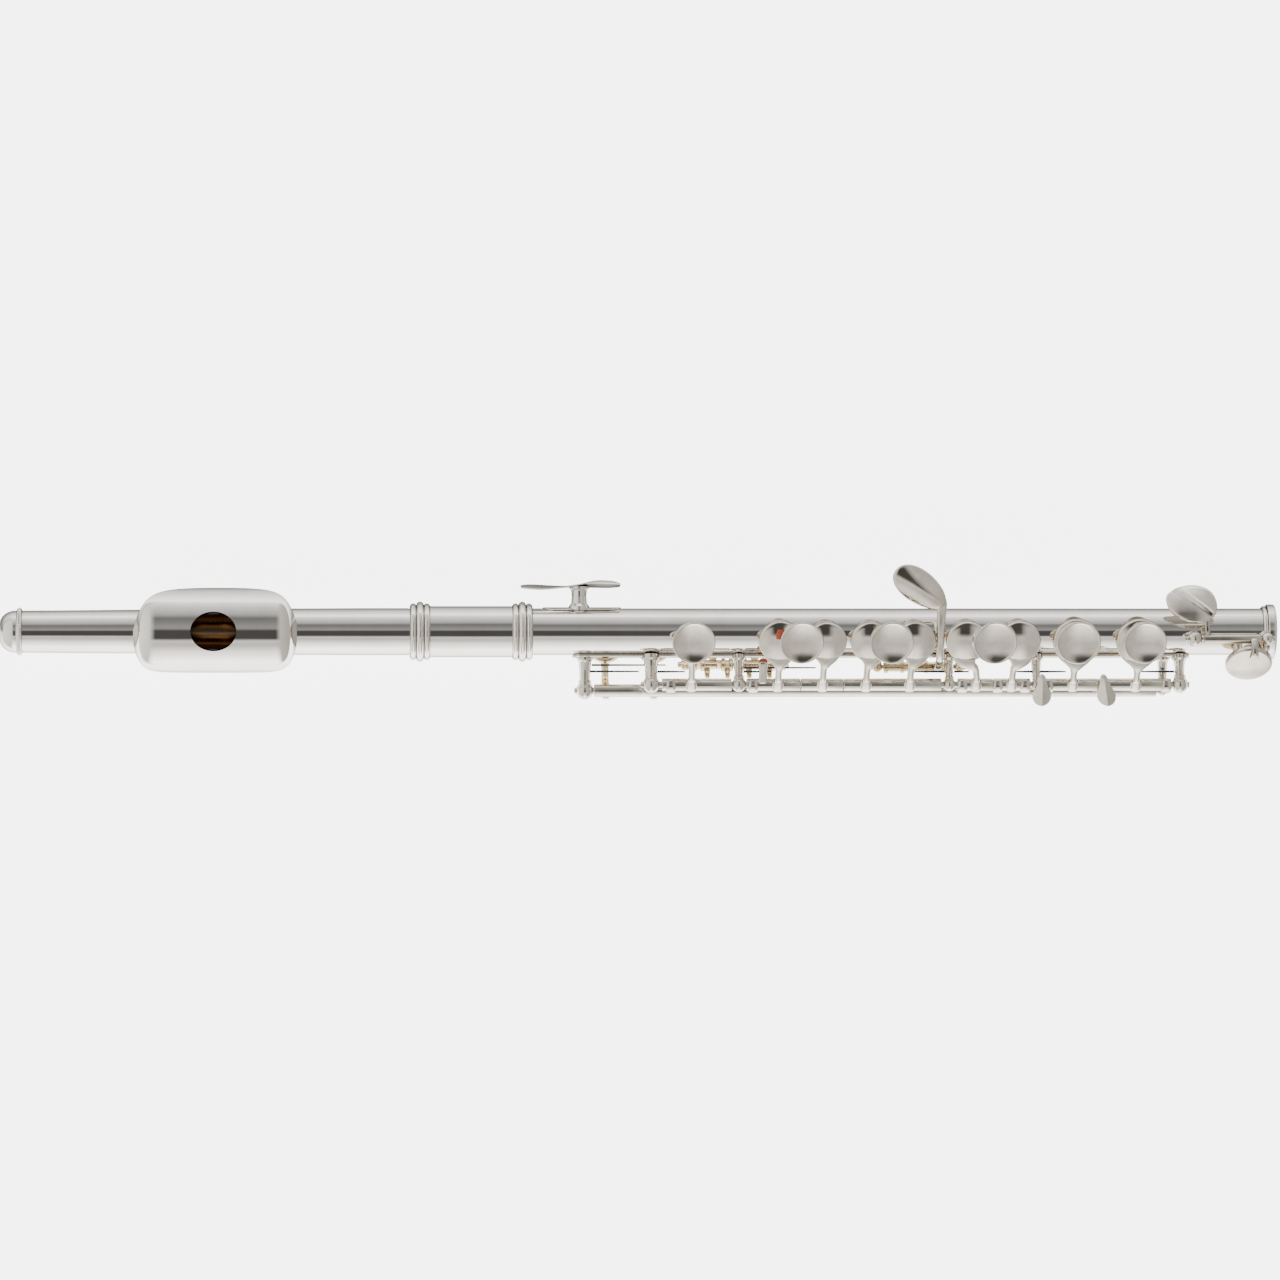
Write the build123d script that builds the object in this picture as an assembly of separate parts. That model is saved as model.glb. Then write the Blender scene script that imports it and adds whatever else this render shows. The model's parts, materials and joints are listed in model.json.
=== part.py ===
from build123d import *
import os
from math import atan2, cos, degrees, hypot, radians, sin

# Piccolo in C. X runs along the bore from the crown (negative) to the open foot end at X = 0.
# +Z is the side of the tone holes, +Y the side that faces away from the player. Millimetres.
# A direction around the bore is an angle from +Z towards -Y, the player's side.

# Tubes
BORE_R = 5.45
TUBE_R = 5.85
BARREL_R = 6.4
HEAD_BORE_R = 4.8
BODY_START = -190.0
FOOT_RING_START = -3.4
FOOT_BORE_R = 5.65
FOOT_RING_R = 6.45
BARREL_START, BARREL_END = -217.2, -187.2
HEAD_START, HEAD_END = -314.1, -217.8
CROWN_TIP = -320.0
TENON_START, TENON_END = -217.8, -190.8
TENON_R, TENON_BORE_R = 5.8, 5.45
HEAD_TURN = -11.5

# Embouchure
EMBOUCHURE_X = -266.4
HOLE_LONG, HOLE_SHORT = 5.8, 5.1
RISER_WALL = 0.7
LIP_START, LIP_END = -286.2, -245.9
LIP_R, LIP_SHEET = 10.2, 0.9

# Hinge lines, each as (y, z)
MAIN_LINE = (-12.56, 5.0)
TRILL_LINE = (-14.8, 1.4)
G_SHARP_LINE = (-9.3, -1.2)
THUMB_LINE = (-9.9, -6.9)
FOOT_LINE = (0.0, 9.2)

# Hinges
STEEL_R = 0.8
HINGE_GAP = 0.05
KEY_TUBE_R = 1.58
TRILL_TUBE_R = 1.6
TRILL_ROD_R = 0.8
SMALL_TUBE_R = 1.2
SMALL_STEEL_R = 0.55
KEY_BORE = STEEL_R + HINGE_GAP
SMALL_BORE = SMALL_STEEL_R + HINGE_GAP
TRILL_BORE = 0.1

# Cups, pads and tone holes
SEAT = 6.9
PAD_LIFT = 0.05
PAD_THICK = 1.5
CUP_SKIRT = 0.65
CUP_WALL = 0.4
CUP_TOP = 0.6
HOLE_SHARE = 0.72
CHIMNEY_WALL = 0.4
KEY_OPEN = 8.0
THUMB_OPEN = 7.0
ARM_WIDTH = 1.7

# Main stack: name, hinge tube from, to, and (cup centre, cup radius, arm place) for each cup
MAIN_KEYS = [
    ("c", -154.4, -137.0, [(-147.6, 4.4, -147.1)]),
    ("b_flat", -133.2, -119.75, [(-125.2, 5.4, -125.4)]),
    ("a", -119.6, -108.95, [(-113.6, 5.1, -114.2)]),
    ("g", -108.8, -84.3, [(-102.5, 5.15, -103.3), (-91.4, 5.2, -92.3)]),
    ("f_sharp", -80.2, -71.3, [(-78.4, 5.3, -75.6)]),
    ("f", -71.15, -61.9, [(-65.3, 5.4, -66.7)]),
    ("e", -58.7, -44.95, [(-51.0, 5.9, -51.3)]),
    ("d", -44.8, -26.4, [(-35.1, 5.95, -35.4)]),
]

# Finger touches: key, centre, radius, stem place
TOUCHES = [
    ("c", -146.85, 5.4, -146.9),
    ("a", -119.9, 5.45, -115.8),
    ("g", -97.4, 5.45, -93.8),
    ("f", -71.55, 5.5, -68.2),
    ("e", -50.6, 5.55, -50.4),
    ("d", -33.9, 5.4, -34.0),
]
TOUCH_Y = 0.4
TOUCH_UNDER = 9.75
TOUCH_THICK = 0.8
TRILL_TOUCH_ROOT = (-15.9, 7.5)
TRILL_TOUCH_WIDE = 4.9
TRILL_D_TOUCH, TRILL_D_SHARP_TOUCH = -59.2, -43.1

# Small keys: cup centre and radius, tone hole radius and direction, seat height, hinge line
TRILL_D_SHARP = dict(cup=-168.3, radius=4.3, hole=3.0, turn=138.5, seat=SEAT, line=TRILL_LINE)
TRILL_D = dict(cup=-156.2, radius=4.3, hole=3.0, turn=138.5, seat=SEAT, line=TRILL_LINE)
G_SHARP = dict(cup=-96.6, radius=4.7, hole=3.4, turn=146.0, seat=SEAT, line=G_SHARP_LINE)
THUMB = dict(cup=-141.0, radius=4.1, hole=3.0, turn=180.0, seat=SEAT, line=THUMB_LINE)
THUMB_B_FLAT = dict(cup=-130.4, radius=4.0, hole=2.9, turn=180.0, seat=SEAT, line=THUMB_LINE)
FOOT_KEY = dict(cup=-7.3, radius=5.9, hole=3.3, turn=38.0, seat=9.2, line=FOOT_LINE)

# Posts: place, hinge line, ball radius, radius at the waist
RIB_POSTS = [
    (-173.6, TRILL_LINE, 2.2, 1.3),
    (-157.1, MAIN_LINE, 2.15, 1.5),
    (-135.1, MAIN_LINE, 1.85, 1.0),
    (-82.2, MAIN_LINE, 1.65, 0.95),
    (-60.3, MAIN_LINE, 1.4, 1.05),
    (-28.1, TRILL_LINE, 1.3, 1.05),
    (-24.1, MAIN_LINE, 2.1, 1.15),
]
BACK_POSTS = [
    (-99.9, G_SHARP_LINE, 1.35, 0.8),
    (-79.3, G_SHARP_LINE, 1.35, 0.8),
    (-148.0, THUMB_LINE, 1.45, 0.8),
    (-123.6, THUMB_LINE, 1.45, 0.8),
]
FOOT_POSTS = [(-21.1, FOOT_LINE, 1.9, 0.8), (-2.85, FOOT_LINE, 1.6, 0.8)]

# The strap under the posts: its ends, thickness, half spread as a slope, and the turn from the main line
RIB_START, RIB_END = -176.8, -21.5
RIB_THICK = 0.75
RIB_SPREAD = 0.30
RIB_SHIFT = 6.0

# Needle springs: fixed end, free end, the line of their post and their height over the bore's axis
SPRINGS = [
    (-171.9, -153.3, TRILL_LINE, 8.43),
    (-172.2, -160.0, TRILL_LINE, 10.04),
    (-155.5, -148.6, MAIN_LINE, 10.2),
    (-133.9, -126.9, MAIN_LINE, 10.2),
    (-133.9, -115.7, MAIN_LINE, 9.2),
    (-81.0, -77.2, MAIN_LINE, 10.2),
    (-83.3, -90.9, MAIN_LINE, 10.2),
    (-61.4, -65.2, MAIN_LINE, 10.2),
    (-59.2, -52.8, MAIN_LINE, 10.2),
    (-25.4, -33.9, MAIN_LINE, 10.2),
]
SPRING_R = 0.22

# Finger rest: ends of its plate, half width and post
REST_START, REST_END = -190.4, -163.8
REST_HALF = 3.4
REST_POST = -175.1


def direction(line):
    """Angle of a hinge line around the bore."""
    return degrees(atan2(-line[0], line[1]))


def reach(line):
    return hypot(*line)


def around(shape, angle, line=(0, 0)):
    """Turns a shape by an angle about a line along X."""
    back = Pos(0, -line[0], -line[1]) * shape
    return Pos(0, line[0], line[1]) * (Rot(angle, 0, 0) * back)


def rod(start, end, radius, line=(0, 0)):
    """A cylinder along X."""
    bar = Rot(0, 90, 0) * Cylinder(radius, end - start, align=(Align.CENTER, Align.CENTER, Align.MIN))
    return Pos(start, line[0], line[1]) * bar


def tube(start, end, outer, inner, line=(0, 0)):
    return rod(start, end, outer, line) - rod(start - 1, end + 1, inner, line)


def upright(x, y, low, high, radius):
    """A cylinder along Z."""
    pin = Cylinder(radius, high - low, align=(Align.CENTER, Align.CENTER, Align.MIN))
    return Pos(x, y, low) * pin


def turned(points):
    """A solid of revolution about the X axis from (x, radius) points."""
    face = make_face(Plane.XZ * Polyline(*points, close=True))
    return revolve(face, Axis.X)


def turned_face(face):
    return revolve(Plane.XZ * face, Axis.X)


def group(shapes):
    """Separate solids kept as one node."""
    return Compound(children=[solid for shape in shapes for solid in shape.solids()])


def save(name, shape):
    export_step(shape, "parts/" + name + ".step")


# ---------------------------------------------------------------- tone holes

def tone_holes():
    """Every tone hole as (place, radius, direction, seat height)."""
    holes = []
    for name, start, end, cups in MAIN_KEYS:
        for place, cup_radius, arm in cups:
            holes.append((place, cup_radius * HOLE_SHARE, 0.0, SEAT))
    for spec in (TRILL_D_SHARP, TRILL_D, G_SHARP, THUMB, THUMB_B_FLAT, FOOT_KEY):
        holes.append((spec["cup"], spec["hole"], spec["turn"], spec["seat"]))
    return holes


# ---------------------------------------------------------------- body joint

def body_tube():
    shape = tube(BODY_START, FOOT_RING_START, TUBE_R, BORE_R)
    for place, radius, turn, seat in tone_holes():
        shape -= around(upright(place, 0, 0, 12, radius), turn)
    return shape


def tone_hole_chimneys():
    """The drawn rims that the pads close on, cut to sit on the tube."""
    rims = []
    core = rod(BODY_START, 0, TUBE_R)
    for place, radius, turn, seat in tone_holes():
        wall = upright(place, 0, 0, seat, radius + CHIMNEY_WALL) - upright(place, 0, -1, 12, radius)
        rims.append(around(wall - core, turn))
    return group(rims)


def receiver_barrel():
    return tube(BARREL_START, BARREL_END, BARREL_R, TUBE_R)


def beaded_ring(start):
    """A ring of three beads around the barrel, the middle one the largest."""
    width = 5.3
    outline = Pos(start + width / 2, BARREL_R + 0.25) * Rectangle(width - 0.6, 0.5)
    for offset, top, bead in ((0.95, 7.1, 0.9), (2.65, 7.55, 1.05), (4.35, 7.1, 0.9)):
        outline += Pos(start + offset, top - bead) * Circle(bead)
    outline -= Pos(start + width / 2, BARREL_R - 1.5) * Rectangle(width + 2, 3.0)
    return turned_face(outline)


def foot_ring():
    """The rim at the open foot end: a small bead and a larger rounded flange."""
    middle = FOOT_RING_START / 2
    outline = Pos(middle, TUBE_R) * Rectangle(-FOOT_RING_START, 0.5)
    outline += Pos(-2.75, TUBE_R) * Circle(0.62)
    outline += Pos(-1.1, TUBE_R) * RectangleRounded(2.1, 2.1, 0.9)
    outline -= Pos(middle, FOOT_BORE_R - 1.5) * Rectangle(8, 3.0)
    return turned_face(outline)


def main_rib():
    """The strap that carries the posts, curved to sit on the tube."""
    strap = tube(RIB_START, RIB_END, TUBE_R + RIB_THICK, TUBE_R)
    wedge = Polyline((0, 0), (-12, 12 * RIB_SPREAD), (-12, -12 * RIB_SPREAD), close=True)
    keep = extrude(Plane.YZ * make_face(wedge), 220, dir=(-1, 0, 0))
    return strap & around(keep, direction(MAIN_LINE) - 90 + RIB_SHIFT)


def post(place, line, ball, waist, foot, hole):
    """A turned post: foot collar, waisted stalk and a ball drilled for the hinge steel."""
    length = reach(line)
    base = waist + 0.8
    outline = Polyline(
        (0, foot - 0.7), (base, foot - 0.7), (base, foot + 0.35), (waist * 1.15, foot + 1.5),
        (waist, (foot + length) / 2), (waist * 1.1, length - ball * 0.6), (0, length - ball * 0.6),
        close=True,
    )
    stalk = revolve(Plane.XZ * make_face(outline), Axis.Z)
    shape = stalk + Pos(0, 0, length) * Sphere(ball)
    shape = Pos(place, 0, 0) * shape
    shape = around(shape, direction(line))
    return shape - rod(place - 5, place + 5, hole, line)


def rib_posts():
    top = TUBE_R + RIB_THICK
    core = rod(-200, 0, top)
    posts = []
    for x, line, ball, waist in RIB_POSTS:
        hole = KEY_BORE if line is TRILL_LINE else STEEL_R
        posts.append(post(x, line, ball, waist, top, hole) - core)
    return group(posts)


def small_posts(places):
    core = rod(-200, FOOT_RING_START, TUBE_R) + rod(FOOT_RING_START, 0, FOOT_RING_R)
    core += main_rib() + foot_ring()
    posts = [post(x, line, ball, waist, TUBE_R, SMALL_STEEL_R) for x, line, ball, waist in places]
    return group([shape - core for shape in posts])


def hinge_steels():
    """The steels that the keys turn on: three lengths for the main stack and one for each small key."""
    spans = [(-158.9, -135.2), (-135.0, -82.3), (-82.1, -22.4)]
    steels = [rod(start, end, STEEL_R, MAIN_LINE) for start, end in spans]
    steels.append(rod(-101.1, -78.1, SMALL_STEEL_R, G_SHARP_LINE))
    steels.append(rod(-149.3, -122.3, SMALL_STEEL_R, THUMB_LINE))
    steels.append(rod(-22.6, -1.6, SMALL_STEEL_R, FOOT_LINE))
    return group(steels)


def finger_rest():
    """A thin S-curved plate on a flared post, where the left hand's first finger lies."""
    top = Spline((-190.3, 11.5), (-184.5, 11.4), (-178.5, 11.6), (-171.0, 12.4), (-166.5, 12.2),
                 (-163.9, 11.8))
    under = Spline((-163.9, 11.3), (-167.0, 11.3), (-171.5, 11.4), (-178.5, 10.8), (-184.5, 10.6),
                   (-190.3, 11.0))
    sides = [Line(top @ 1, under @ 0), Line(under @ 1, top @ 0)]
    plate = extrude(make_face(Curve() + [top, sides[0], under, sides[1]]), REST_HALF, both=True)
    long = REST_END - REST_START
    outline = Pos(REST_START + long / 2, 0) * RectangleRounded(long, 2 * REST_HALF - 0.2, REST_HALF - 0.2)
    plate = plate & extrude(Plane.XZ * outline, 30, both=True)
    flare = Polyline((0, 5), (2.5, 5), (2.4, 6.3), (1.95, 7.3), (1.85, 8.8), (2.2, 11.0), (0, 11.0),
                     close=True)
    stalk = revolve(Plane.XY * make_face(flare), Axis.Y)
    stalk = Pos(REST_POST, 0, 0) * stalk - rod(-200, -150, TUBE_R)
    return around(plate + stalk, HEAD_TURN)


def needle_springs():
    """Fine steel springs, each fixed in a post and reaching along to its key's arm."""
    wires = []
    for start, end, line, height in SPRINGS:
        low, high = min(start, end), max(start, end)
        wires.append(around(Pos(0, 0, height) * rod(low, high, SPRING_R), direction(line)))
    return group(wires)


# ---------------------------------------------------------------- head joint

def head_tube():
    outer = [(HEAD_START, 5.25), (-250.0, 5.8), (-230.0, 5.9), (HEAD_END, 5.9)]
    inner = [(HEAD_END, BORE_R), (-250.0, BORE_R - 0.1), (-272.0, HEAD_BORE_R), (HEAD_START, HEAD_BORE_R)]
    shape = turned(outer + inner)
    hole = riser_oval(RISER_WALL, 0, 12)
    return around(shape - hole, HEAD_TURN)


def riser_oval(grow, low, high):
    oval = Ellipse(HOLE_LONG + grow, HOLE_SHORT + grow)
    return Pos(EMBOUCHURE_X, 0, low) * extrude(oval, high - low)


def lip_profile(offset):
    """(x, radius) points of the lip plate's surface, moved inwards by offset."""
    points = [
        (LIP_START, 6.55), (LIP_START + 1.2, 7.3), (LIP_START + 3.6, 8.7), (LIP_START + 8.0, 9.8),
        (LIP_START + 14.0, LIP_R), (LIP_END - 14.0, LIP_R),
        (LIP_END - 8.0, 9.8), (LIP_END - 3.6, 8.7), (LIP_END - 1.2, 7.3), (LIP_END, 6.55),
    ]
    return [(x, radius - offset) for x, radius in points]


def lip_plate():
    shell = turned(lip_profile(0)) - turned([(x, max(r, 5.92)) for x, r in lip_profile(LIP_SHEET)])
    edge = Spline((-286.2, -0.2), (-281.5, 7.6), (-273.0, 10.9), (-265.5, 11.6), (-258.0, 10.6),
                  (-250.2, 6.8), (-245.9, -0.6))
    low = Spline((-245.9, -0.6), (-247.0, -6.8), (-252.0, -9.6), (-266.0, -10.25), (-280.0, -9.6),
                 (-285.1, -6.8), (-286.2, -0.2))
    outline = make_face(Curve() + [edge, low])
    shell = shell & extrude(outline, 20)
    shell -= riser_oval(0, 0, 14)
    return around(shell, HEAD_TURN)


def embouchure_riser():
    """The oval wall between the lip plate and the head tube."""
    wall = riser_oval(RISER_WALL, 0, 10.5) - riser_oval(0, -1, 12)
    under = turned([(LIP_START + 8, 0)] + lip_profile(LIP_SHEET)[3:7] + [(LIP_END - 8, 0)])
    wall = (wall & under) - rod(-290, -240, BORE_R - 0.1)
    return around(wall, HEAD_TURN)


def crown():
    """The domed cap with its beaded rim, threaded for the stopper's screw."""
    outline = Polyline(
        (HEAD_START, 0), (HEAD_START, 5.2), (-315.6, 5.2), (-315.6, 5.25), (-317.3, 5.2), (-318.6, 4.75),
        (-319.5, 3.8), (CROWN_TIP, 2.0), (CROWN_TIP, 0), close=True,
    )
    cap = revolve(Plane.XZ * make_face(outline), Axis.X)
    bead = Pos(-314.9, 5.2) * Circle(0.75)
    plug = rod(HEAD_START, -309.5, HEAD_BORE_R - 0.06)
    shape = cap + turned_face(bead) - rod(HEAD_START, -312, 8) + plug
    return shape - rod(-318.0, -300, 1.05)


def stopper_screw():
    """The screw that the crown turns on, with its nut and the two plates that grip the cork."""
    back = rod(-285.6, -284.8, HEAD_BORE_R - 0.15)
    face = rod(-275.2, -274.4, HEAD_BORE_R - 0.08)
    core = rod(-284.8, -275.2, 1.2)
    return rod(-315.6, -285.6, 1.0) + rod(-287.6, -285.6, 2.2) + back + core + face


def stopper_cork():
    return tube(-284.8, -275.2, HEAD_BORE_R - 0.06, 1.2)


# ---------------------------------------------------------------- keys

def cup_shell(radius, seat):
    """A key cup above its seat, closed, with the top edge rounded."""
    low = seat + CUP_SKIRT
    high = seat + PAD_LIFT + PAD_THICK + CUP_TOP
    shell = upright(0, 0, low, high, radius)
    shell = fillet(shell.edges().sort_by(Axis.Z)[-1], 0.45)
    return shell - upright(0, 0, low - 1, seat + PAD_LIFT + PAD_THICK, radius - CUP_WALL)


def cup_room(radius, seat):
    """The space inside a cup, kept clear of its arm."""
    return upright(0, 0, seat - 3, seat + PAD_LIFT + PAD_THICK, radius - CUP_WALL + 0.01)


def pad(place, radius, seat):
    low = seat + PAD_LIFT
    disc = upright(place, 0, low, low + PAD_THICK, radius - CUP_WALL - 0.02)
    return fillet(disc.edges().sort_by(Axis.Z)[0], 0.35)


def arm(place, cup_place, tip_y, heights):
    """A key arm: a narrow neck that widens into the cup and flares on the hinge tube."""
    y, z = MAIN_LINE
    side = Polyline(
        (y, z + 1.3), (y + 3.4, z + 2.9), (tip_y, heights[1]), (tip_y, heights[0]),
        (y + 3.6, z + 1.5), (y, z - 1.3), close=True,
    )
    bar = Pos(place, 0, 0) * extrude(Plane.YZ * make_face(side), 6, both=True)
    half = ARM_WIDTH / 2
    lean = cup_place - place
    plan = Polyline(
        (-2.0, y - 1), (-1.9, y + 1.2), (-half, y + 2.8), (lean * 0.15 - half, y + 4.6),
        (lean * 0.6 - 2.6, tip_y), (lean * 0.6 + 2.6, tip_y), (lean * 0.15 + half, y + 4.6),
        (half, y + 2.8), (1.9, y + 1.2), (2.0, y - 1), close=True,
    )
    return bar & (Pos(place, 0, 0) * extrude(make_face(plan), 30))


def main_key(start, end, cups):
    """Hinge tube, arms and cups of one key of the main stack, standing open."""
    shape = rod(start, end, KEY_TUBE_R, MAIN_LINE)
    for place, radius, arm_place in cups:
        shape += Pos(place, 0, 0) * cup_shell(radius, SEAT)
        tip = -radius + 1.6
        bar = arm(arm_place, place, tip, (7.75, 8.95))
        shape += bar - Pos(place, 0, 0) * cup_room(radius, SEAT)
    shape -= rod(start - 1, end + 1, KEY_BORE, MAIN_LINE)
    return around(shape, KEY_OPEN, MAIN_LINE)


def main_pads(cups):
    pads = [pad(place, radius, SEAT) for place, radius, arm_place in cups]
    return around(group(pads), KEY_OPEN, MAIN_LINE)


def b_flat_felt():
    """A felt on the B flat cup, which the A key's touch presses through."""
    felt = Box(2.6, 3.6, 0.6, align=(Align.CENTER, Align.CENTER, Align.MIN))
    return around(Pos(-121.7, 1.4, SEAT + PAD_LIFT + PAD_THICK + CUP_TOP) * felt, KEY_OPEN, MAIN_LINE)


def touch(place, radius, stem):
    """A slightly dished finger disc on a short stem."""
    disc = upright(place, TOUCH_Y, TOUCH_UNDER, TOUCH_UNDER + TOUCH_THICK, radius)
    disc = fillet(disc.edges(), 0.3)
    top = SEAT + PAD_LIFT + PAD_THICK + CUP_TOP
    return around(disc + upright(stem, 0, top, TOUCH_UNDER + 0.1, 1.3), KEY_OPEN, MAIN_LINE)


def side_arm(place, width, points, thick=1.1):
    """A bar of constant width along X that follows points in the YZ plane."""
    bar = extrude(offset_band(points, thick), width / 2, both=True)
    return Pos(place, 0, 0) * bar


def offset_band(points, thick):
    """A band of the given thickness around a bent line, in the YZ plane."""
    band = None
    for (y0, z0), (y1, z1) in zip(points, points[1:]):
        length = hypot(y1 - y0, z1 - z0)
        middle = Pos((y0 + y1) / 2, (z0 + z1) / 2) * Rot(0, 0, degrees(atan2(z1 - z0, y1 - y0)))
        piece = middle * SlotCenterToCenter(length, thick)
        band = piece if band is None else band + piece
    return Plane.YZ * band


def seat_point(spec, height, across=0.0):
    """(y, z) at a height over a tone hole and a distance across it."""
    turn = radians(spec["turn"])
    return (
        -height * sin(turn) + across * cos(turn),
        height * cos(turn) + across * sin(turn),
    )


def closed_cup(spec):
    return Pos(spec["cup"], 0, 0) * cup_shell(spec["radius"], spec["seat"])


def closed_pad(spec):
    return around(pad(spec["cup"], spec["radius"], spec["seat"]), spec["turn"])


def build_key(spec, barrels, arms, tube_radius, bore):
    """Joins a key's hinge barrels, arms and cup, with the pad's room and the hinge bore cut out."""
    shape = around(closed_cup(spec), spec["turn"])
    for bar in arms:
        shape += bar
    room = Pos(spec["cup"], 0, 0) * cup_room(spec["radius"], spec["seat"])
    shape -= around(room, spec["turn"])
    for start, end in barrels:
        shape += rod(start, end, tube_radius, spec["line"])
    for start, end in barrels:
        shape -= rod(start - 0.5, end + 0.5, bore, spec["line"])
    return shape


def trill_key(spec, start, end, touch_place, bore):
    """A trill key: a long hinge tube, an arm round the body to its cup and a foot for its touch."""
    y, z = spec["line"]
    cup_point = seat_point(spec, spec["seat"] + 1.6, -spec["radius"] * 0.55)
    knee = (-13.2, -4.2)
    arms = [
        side_arm(spec["cup"], 1.8, [(y, z), knee, cup_point], 1.2),
        Pos(spec["cup"], y - 1.2, z - 1.3) * Sphere(1.25),
        side_arm(touch_place, 1.6, [(y, z), (-16.5, 3.8), TRILL_TOUCH_ROOT], 1.2),
    ]
    shape = build_key(spec, [(start, end)], arms, TRILL_TUBE_R, bore)
    return shape - trill_touch(touch_place)


def trill_d_sharp_key():
    """The upper trill key, whose steel runs through the lower one and pivots in the end posts."""
    shape = trill_key(TRILL_D_SHARP, -171.3, -159.1, TRILL_D_SHARP_TOUCH, TRILL_BORE)
    shape += rod(-57.8, -29.7, TRILL_TUBE_R, TRILL_LINE)
    shape += rod(-174.9, -27.5, TRILL_ROD_R, TRILL_LINE)
    return shape


def trill_touch(place):
    """A wedge over the hinge tubes, narrow at its inner end and wide towards the player."""
    half = TRILL_TOUCH_WIDE / 2
    tip = 8.0
    outline = Pos(0, half) * Circle(half)
    outline += make_face(Polyline((-half, half), (-0.6, tip), (0.6, tip), (half, half), close=True))
    wedge = extrude(outline, 1.3)
    return Pos(place, TRILL_TOUCH_ROOT[0] - 1.5, TRILL_TOUCH_ROOT[1] - 0.3) * wedge


def g_sharp_key():
    y, z = G_SHARP_LINE
    lever = side_arm(-84.95, 1.7, [(y, z), (-8.6, 3.2), (-5.6, 7.4), (0.0, 8.3), (9.6, 8.2)], 1.1)
    cup_point = seat_point(G_SHARP, G_SHARP["seat"] + 1.6, -G_SHARP["radius"] * 0.5)
    arms = [side_arm(-96.6, 2.2, [(y, z), (-8.9, -4.2), cup_point], 1.1), lever]
    shape = build_key(G_SHARP, [(-98.4, -80.8)], arms, SMALL_TUBE_R, SMALL_BORE)
    return shape - g_sharp_spoon()


def g_sharp_spoon():
    """The leaf-shaped lever end for the left little finger."""
    leaf = Pos(-90.1, 13.6) * Rot(0, 0, -36) * Ellipse(7.4, 3.9)
    plate = Pos(0, 0, 7.7) * extrude(leaf, 1.3)
    return fillet(plate.edges().group_by(Axis.Z)[-1], 0.5)


def foot_key():
    y, z = FOOT_LINE
    spec = FOOT_KEY
    top = spec["seat"] + 2.0
    edge, inner = seat_point(spec, top, 5.5), seat_point(spec, top, 3.2)
    arms = [
        side_arm(-6.3, 2.0, [(y, z), edge, inner], 1.1),
        side_arm(-18.0, 1.3, [(y, z), (4.0, 8.9)], 1.0),
    ]
    shape = build_key(spec, [(-18.9, -4.7)], arms, SMALL_TUBE_R, SMALL_BORE)
    return shape - foot_touch()


def foot_touch():
    """The shell-shaped touch for the right little finger."""
    shell = Spline((-27.8, 7.2), (-25.0, 9.6), (-19.5, 9.9), (-15.2, 7.6), (-15.0, 3.6),
                   (-17.2, 0.4), (-21.0, 0.2), (-25.6, 3.4), (-27.8, 7.2))
    plate = extrude(make_face(shell), 1.2)
    return Pos(0, 3.9, 8.2) * (Rot(-38, 0, 0) * plate)


def thumb_key(spec, start, end):
    y, z = THUMB_LINE
    cup_point = seat_point(spec, spec["seat"] + 1.5, spec["radius"] * 0.7)
    arms = [side_arm(spec["cup"], 2.4, [(y, z), (cup_point[0] - 1.2, -8.3), cup_point], 1.1)]
    shape = build_key(spec, [(start, end)], arms, SMALL_TUBE_R, SMALL_BORE)
    return around(shape, -THUMB_OPEN, THUMB_LINE)


def thumb_touch(spec, wide):
    """An oval plate on the back of the cup for the left thumb."""
    plate = Pos(spec["cup"], -2.0, -10.35) * extrude(Ellipse(wide, 5.0), 0.9)
    plate = fillet(plate.edges().group_by(Axis.Z)[0], 0.3)
    top = spec["seat"] + PAD_LIFT + PAD_THICK + CUP_TOP
    stem = upright(spec["cup"], -1.0, -9.5, -top, 1.6)
    return around(plate + stem, -THUMB_OPEN, THUMB_LINE)


# ---------------------------------------------------------------- files

def make_body():
    save("body_tube", body_tube())
    save("tone_hole_chimneys", tone_hole_chimneys())
    save("receiver_barrel", receiver_barrel())
    save("barrel_rings", group([beaded_ring(-217.6), beaded_ring(-192.0)]))
    save("foot_ring", foot_ring())
    save("main_rib", main_rib())
    save("rib_posts", rib_posts())
    save("back_posts", small_posts(BACK_POSTS))
    save("foot_posts", small_posts(FOOT_POSTS))
    save("hinge_steels", hinge_steels())
    save("finger_rest", finger_rest())
    save("needle_springs", needle_springs())


def make_head():
    save("head_tenon", tube(TENON_START, TENON_END, TENON_R, TENON_BORE_R))
    save("head_tube", head_tube())
    save("lip_plate", lip_plate())
    save("embouchure_riser", embouchure_riser())
    save("crown", crown())
    save("stopper_screw", stopper_screw())
    save("stopper_cork", stopper_cork())


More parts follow.
